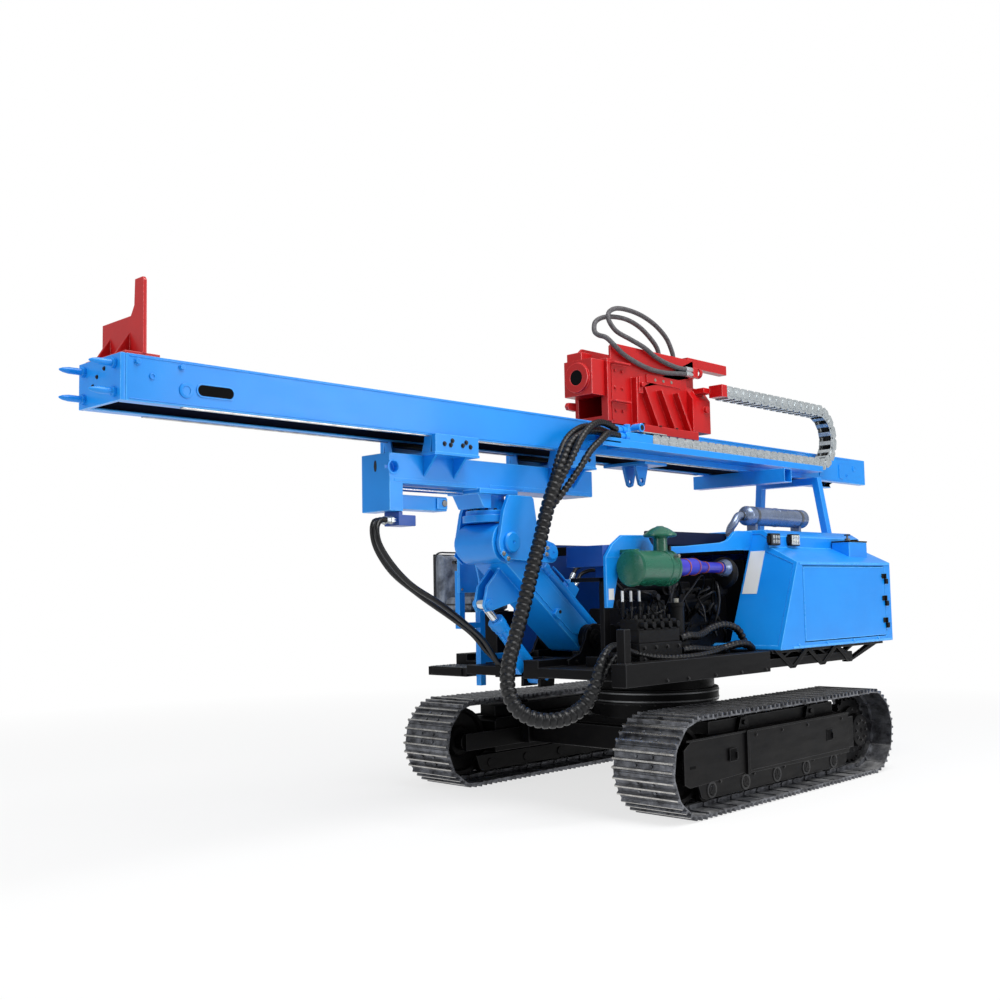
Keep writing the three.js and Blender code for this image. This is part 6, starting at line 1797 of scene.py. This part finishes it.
# The cabinet takes the blue in painted shade, for the shadow it stands in under the mast; the navy line on its face
# is painted shade too.
cabinet = joined([bar((0.2155, 0.5195), (-0.4995, -0.2805), (1.500, 1.6345), "shade_blue", 0.006),
                  bar((0.30, 0.5195), (-0.31, -0.2805), (1.4325, 1.51), "shade_blue", 0.003),
                  bar((0.5195, 0.521), (-0.46, -0.30), (1.52, 1.524), "shade_navy", 0.0005),
                  rod("x", 0.012, 0.519, 0.527, (-0.33, 1.57), "dark_bolt", 16)])
placed(cabinet, "front_cabinet_box", "upper", "blue_paint", "front_cabinet")
parts = []
for side in (-1, 1):
    across_cheek = sorted((side * 0.1965, side * 0.2185))
    outline = [(-0.50, DECK_Z), (0.14, DECK_Z), (0.10, 0.93)]
    outline += [(-0.225 + 0.10 * math.cos(math.radians(a)), 1.035 + 0.10 * math.sin(math.radians(a)))
                for a in range(-5, 186, 12)]
    outline += [(-0.38, 0.95), (-0.50, 0.91)]
    parts.append(plate(outline, "x", *across_cheek, "black", 0.005))
    parts.append(lathe([(0.0, 0.0), (0.0, 0.062), (0.012, 0.062), (0.016, 0.056), (0.016, 0.03), (0.03, 0.028),
                        (0.03, 0.0)],
                       "x", (FOOT_Y, FOOT_Z), "black", 28))
    parts[-1].data.transform(Matrix.Translation((side * 0.2185, 0, 0)) @ Matrix.Scale(side, 4, Vector((1, 0, 0))))
    if side < 0:
        parts[-1].data.flip_normals()
    parts.append(copies(bolt(0.010, "dark_bolt"), [((side * 0.2185, y, z), (side, 0, 0)) for y,
                                                   z in ((-0.28, 1.10), (-0.17, 1.10), (-0.42, 0.895),
                                                         (0.02, 0.895))]))
placed(parts, "boom_cheeks", "upper", "chassis_black")
parts = []
for side in (-1, 1):
    across_deck = sorted((side * 0.855, side * 0.90))
    parts.append(plate([(1.90, 0.785), (1.955, 0.785), (2.395, 0.9), (2.395, 0.9195), (2.345, 0.9195)], "x",
                       *across_deck, "black", 0.003))
    parts.append(plate([(1.90, 0.785), (1.955, 0.785), (1.955, 0.862), (1.90, 0.862)], "x", *across_deck, "black",
                       0.003))
    for k in range(5):
        y = 0.87 + 0.21 * k
        low, high = (y, y + 0.21) if k % 2 else (y + 0.21, y)
        parts.append(plate([(low - 0.03, 0.787), (low + 0.03, 0.787), (high + 0.03, 0.9195), (high - 0.03, 0.9195)],
                           "x",
                           *sorted((side * 0.9055, side * 0.918)), "black", 0.003))
placed(parts, "deck_braces", "upper", "chassis_black")
print("strip, post and braces cut")

# %% [markdown]
# ## Floor
# A pale floor keeps the machine's shadow. Camera rays see it as almost plain white, fading into the
# white room with distance.

# %% Lay the floor
clear()
bpy.ops.mesh.primitive_circle_add(vertices=96, radius=30, fill_type="NGON", location=(0, 0, -0.002))
floor = settle(bpy.context.object)
floor.name = "floor"
ground = bpy.data.materials.new("white_floor")
ground.use_nodes = True
tree = ground.node_tree
tree.nodes.clear()
matt = node(tree, "ShaderNodeBsdfDiffuse", Color=(0.86, 0.86, 0.86, 1))
glow = node(tree, "ShaderNodeEmission", Color=(1, 1, 1, 1), Strength=1.0)
ray = node(tree, "ShaderNodeLightPath")
seen = times(tree, ray.outputs["Is Camera Ray"], ray.outputs["Is Glossy Ray"], "MAXIMUM")
mixed = node(tree, "ShaderNodeMixShader")
out = node(tree, "ShaderNodeOutputMaterial")
place = node(tree, "ShaderNodeTexCoord")
reach = node(tree, "ShaderNodeVectorMath", {"operation": "LENGTH"})
tree.links.new(place.outputs["Object"], reach.inputs[0])
share = clamped_range(tree, reach.outputs["Value"], 3.0, 9.0, 0.72, 1.0)
tree.links.new(times(tree, seen, share), mixed.inputs[0])
tree.links.new(matt.outputs[0], mixed.inputs[1])
tree.links.new(glow.outputs[0], mixed.inputs[2])
tree.links.new(mixed.outputs[0], out.inputs["Surface"])
floor.data.materials.append(ground)
floor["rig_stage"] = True
print("floor laid")

# %% Print the visual box and finish
low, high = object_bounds()
print("visual box", [round(v, 3) for v in (*low, *high)])
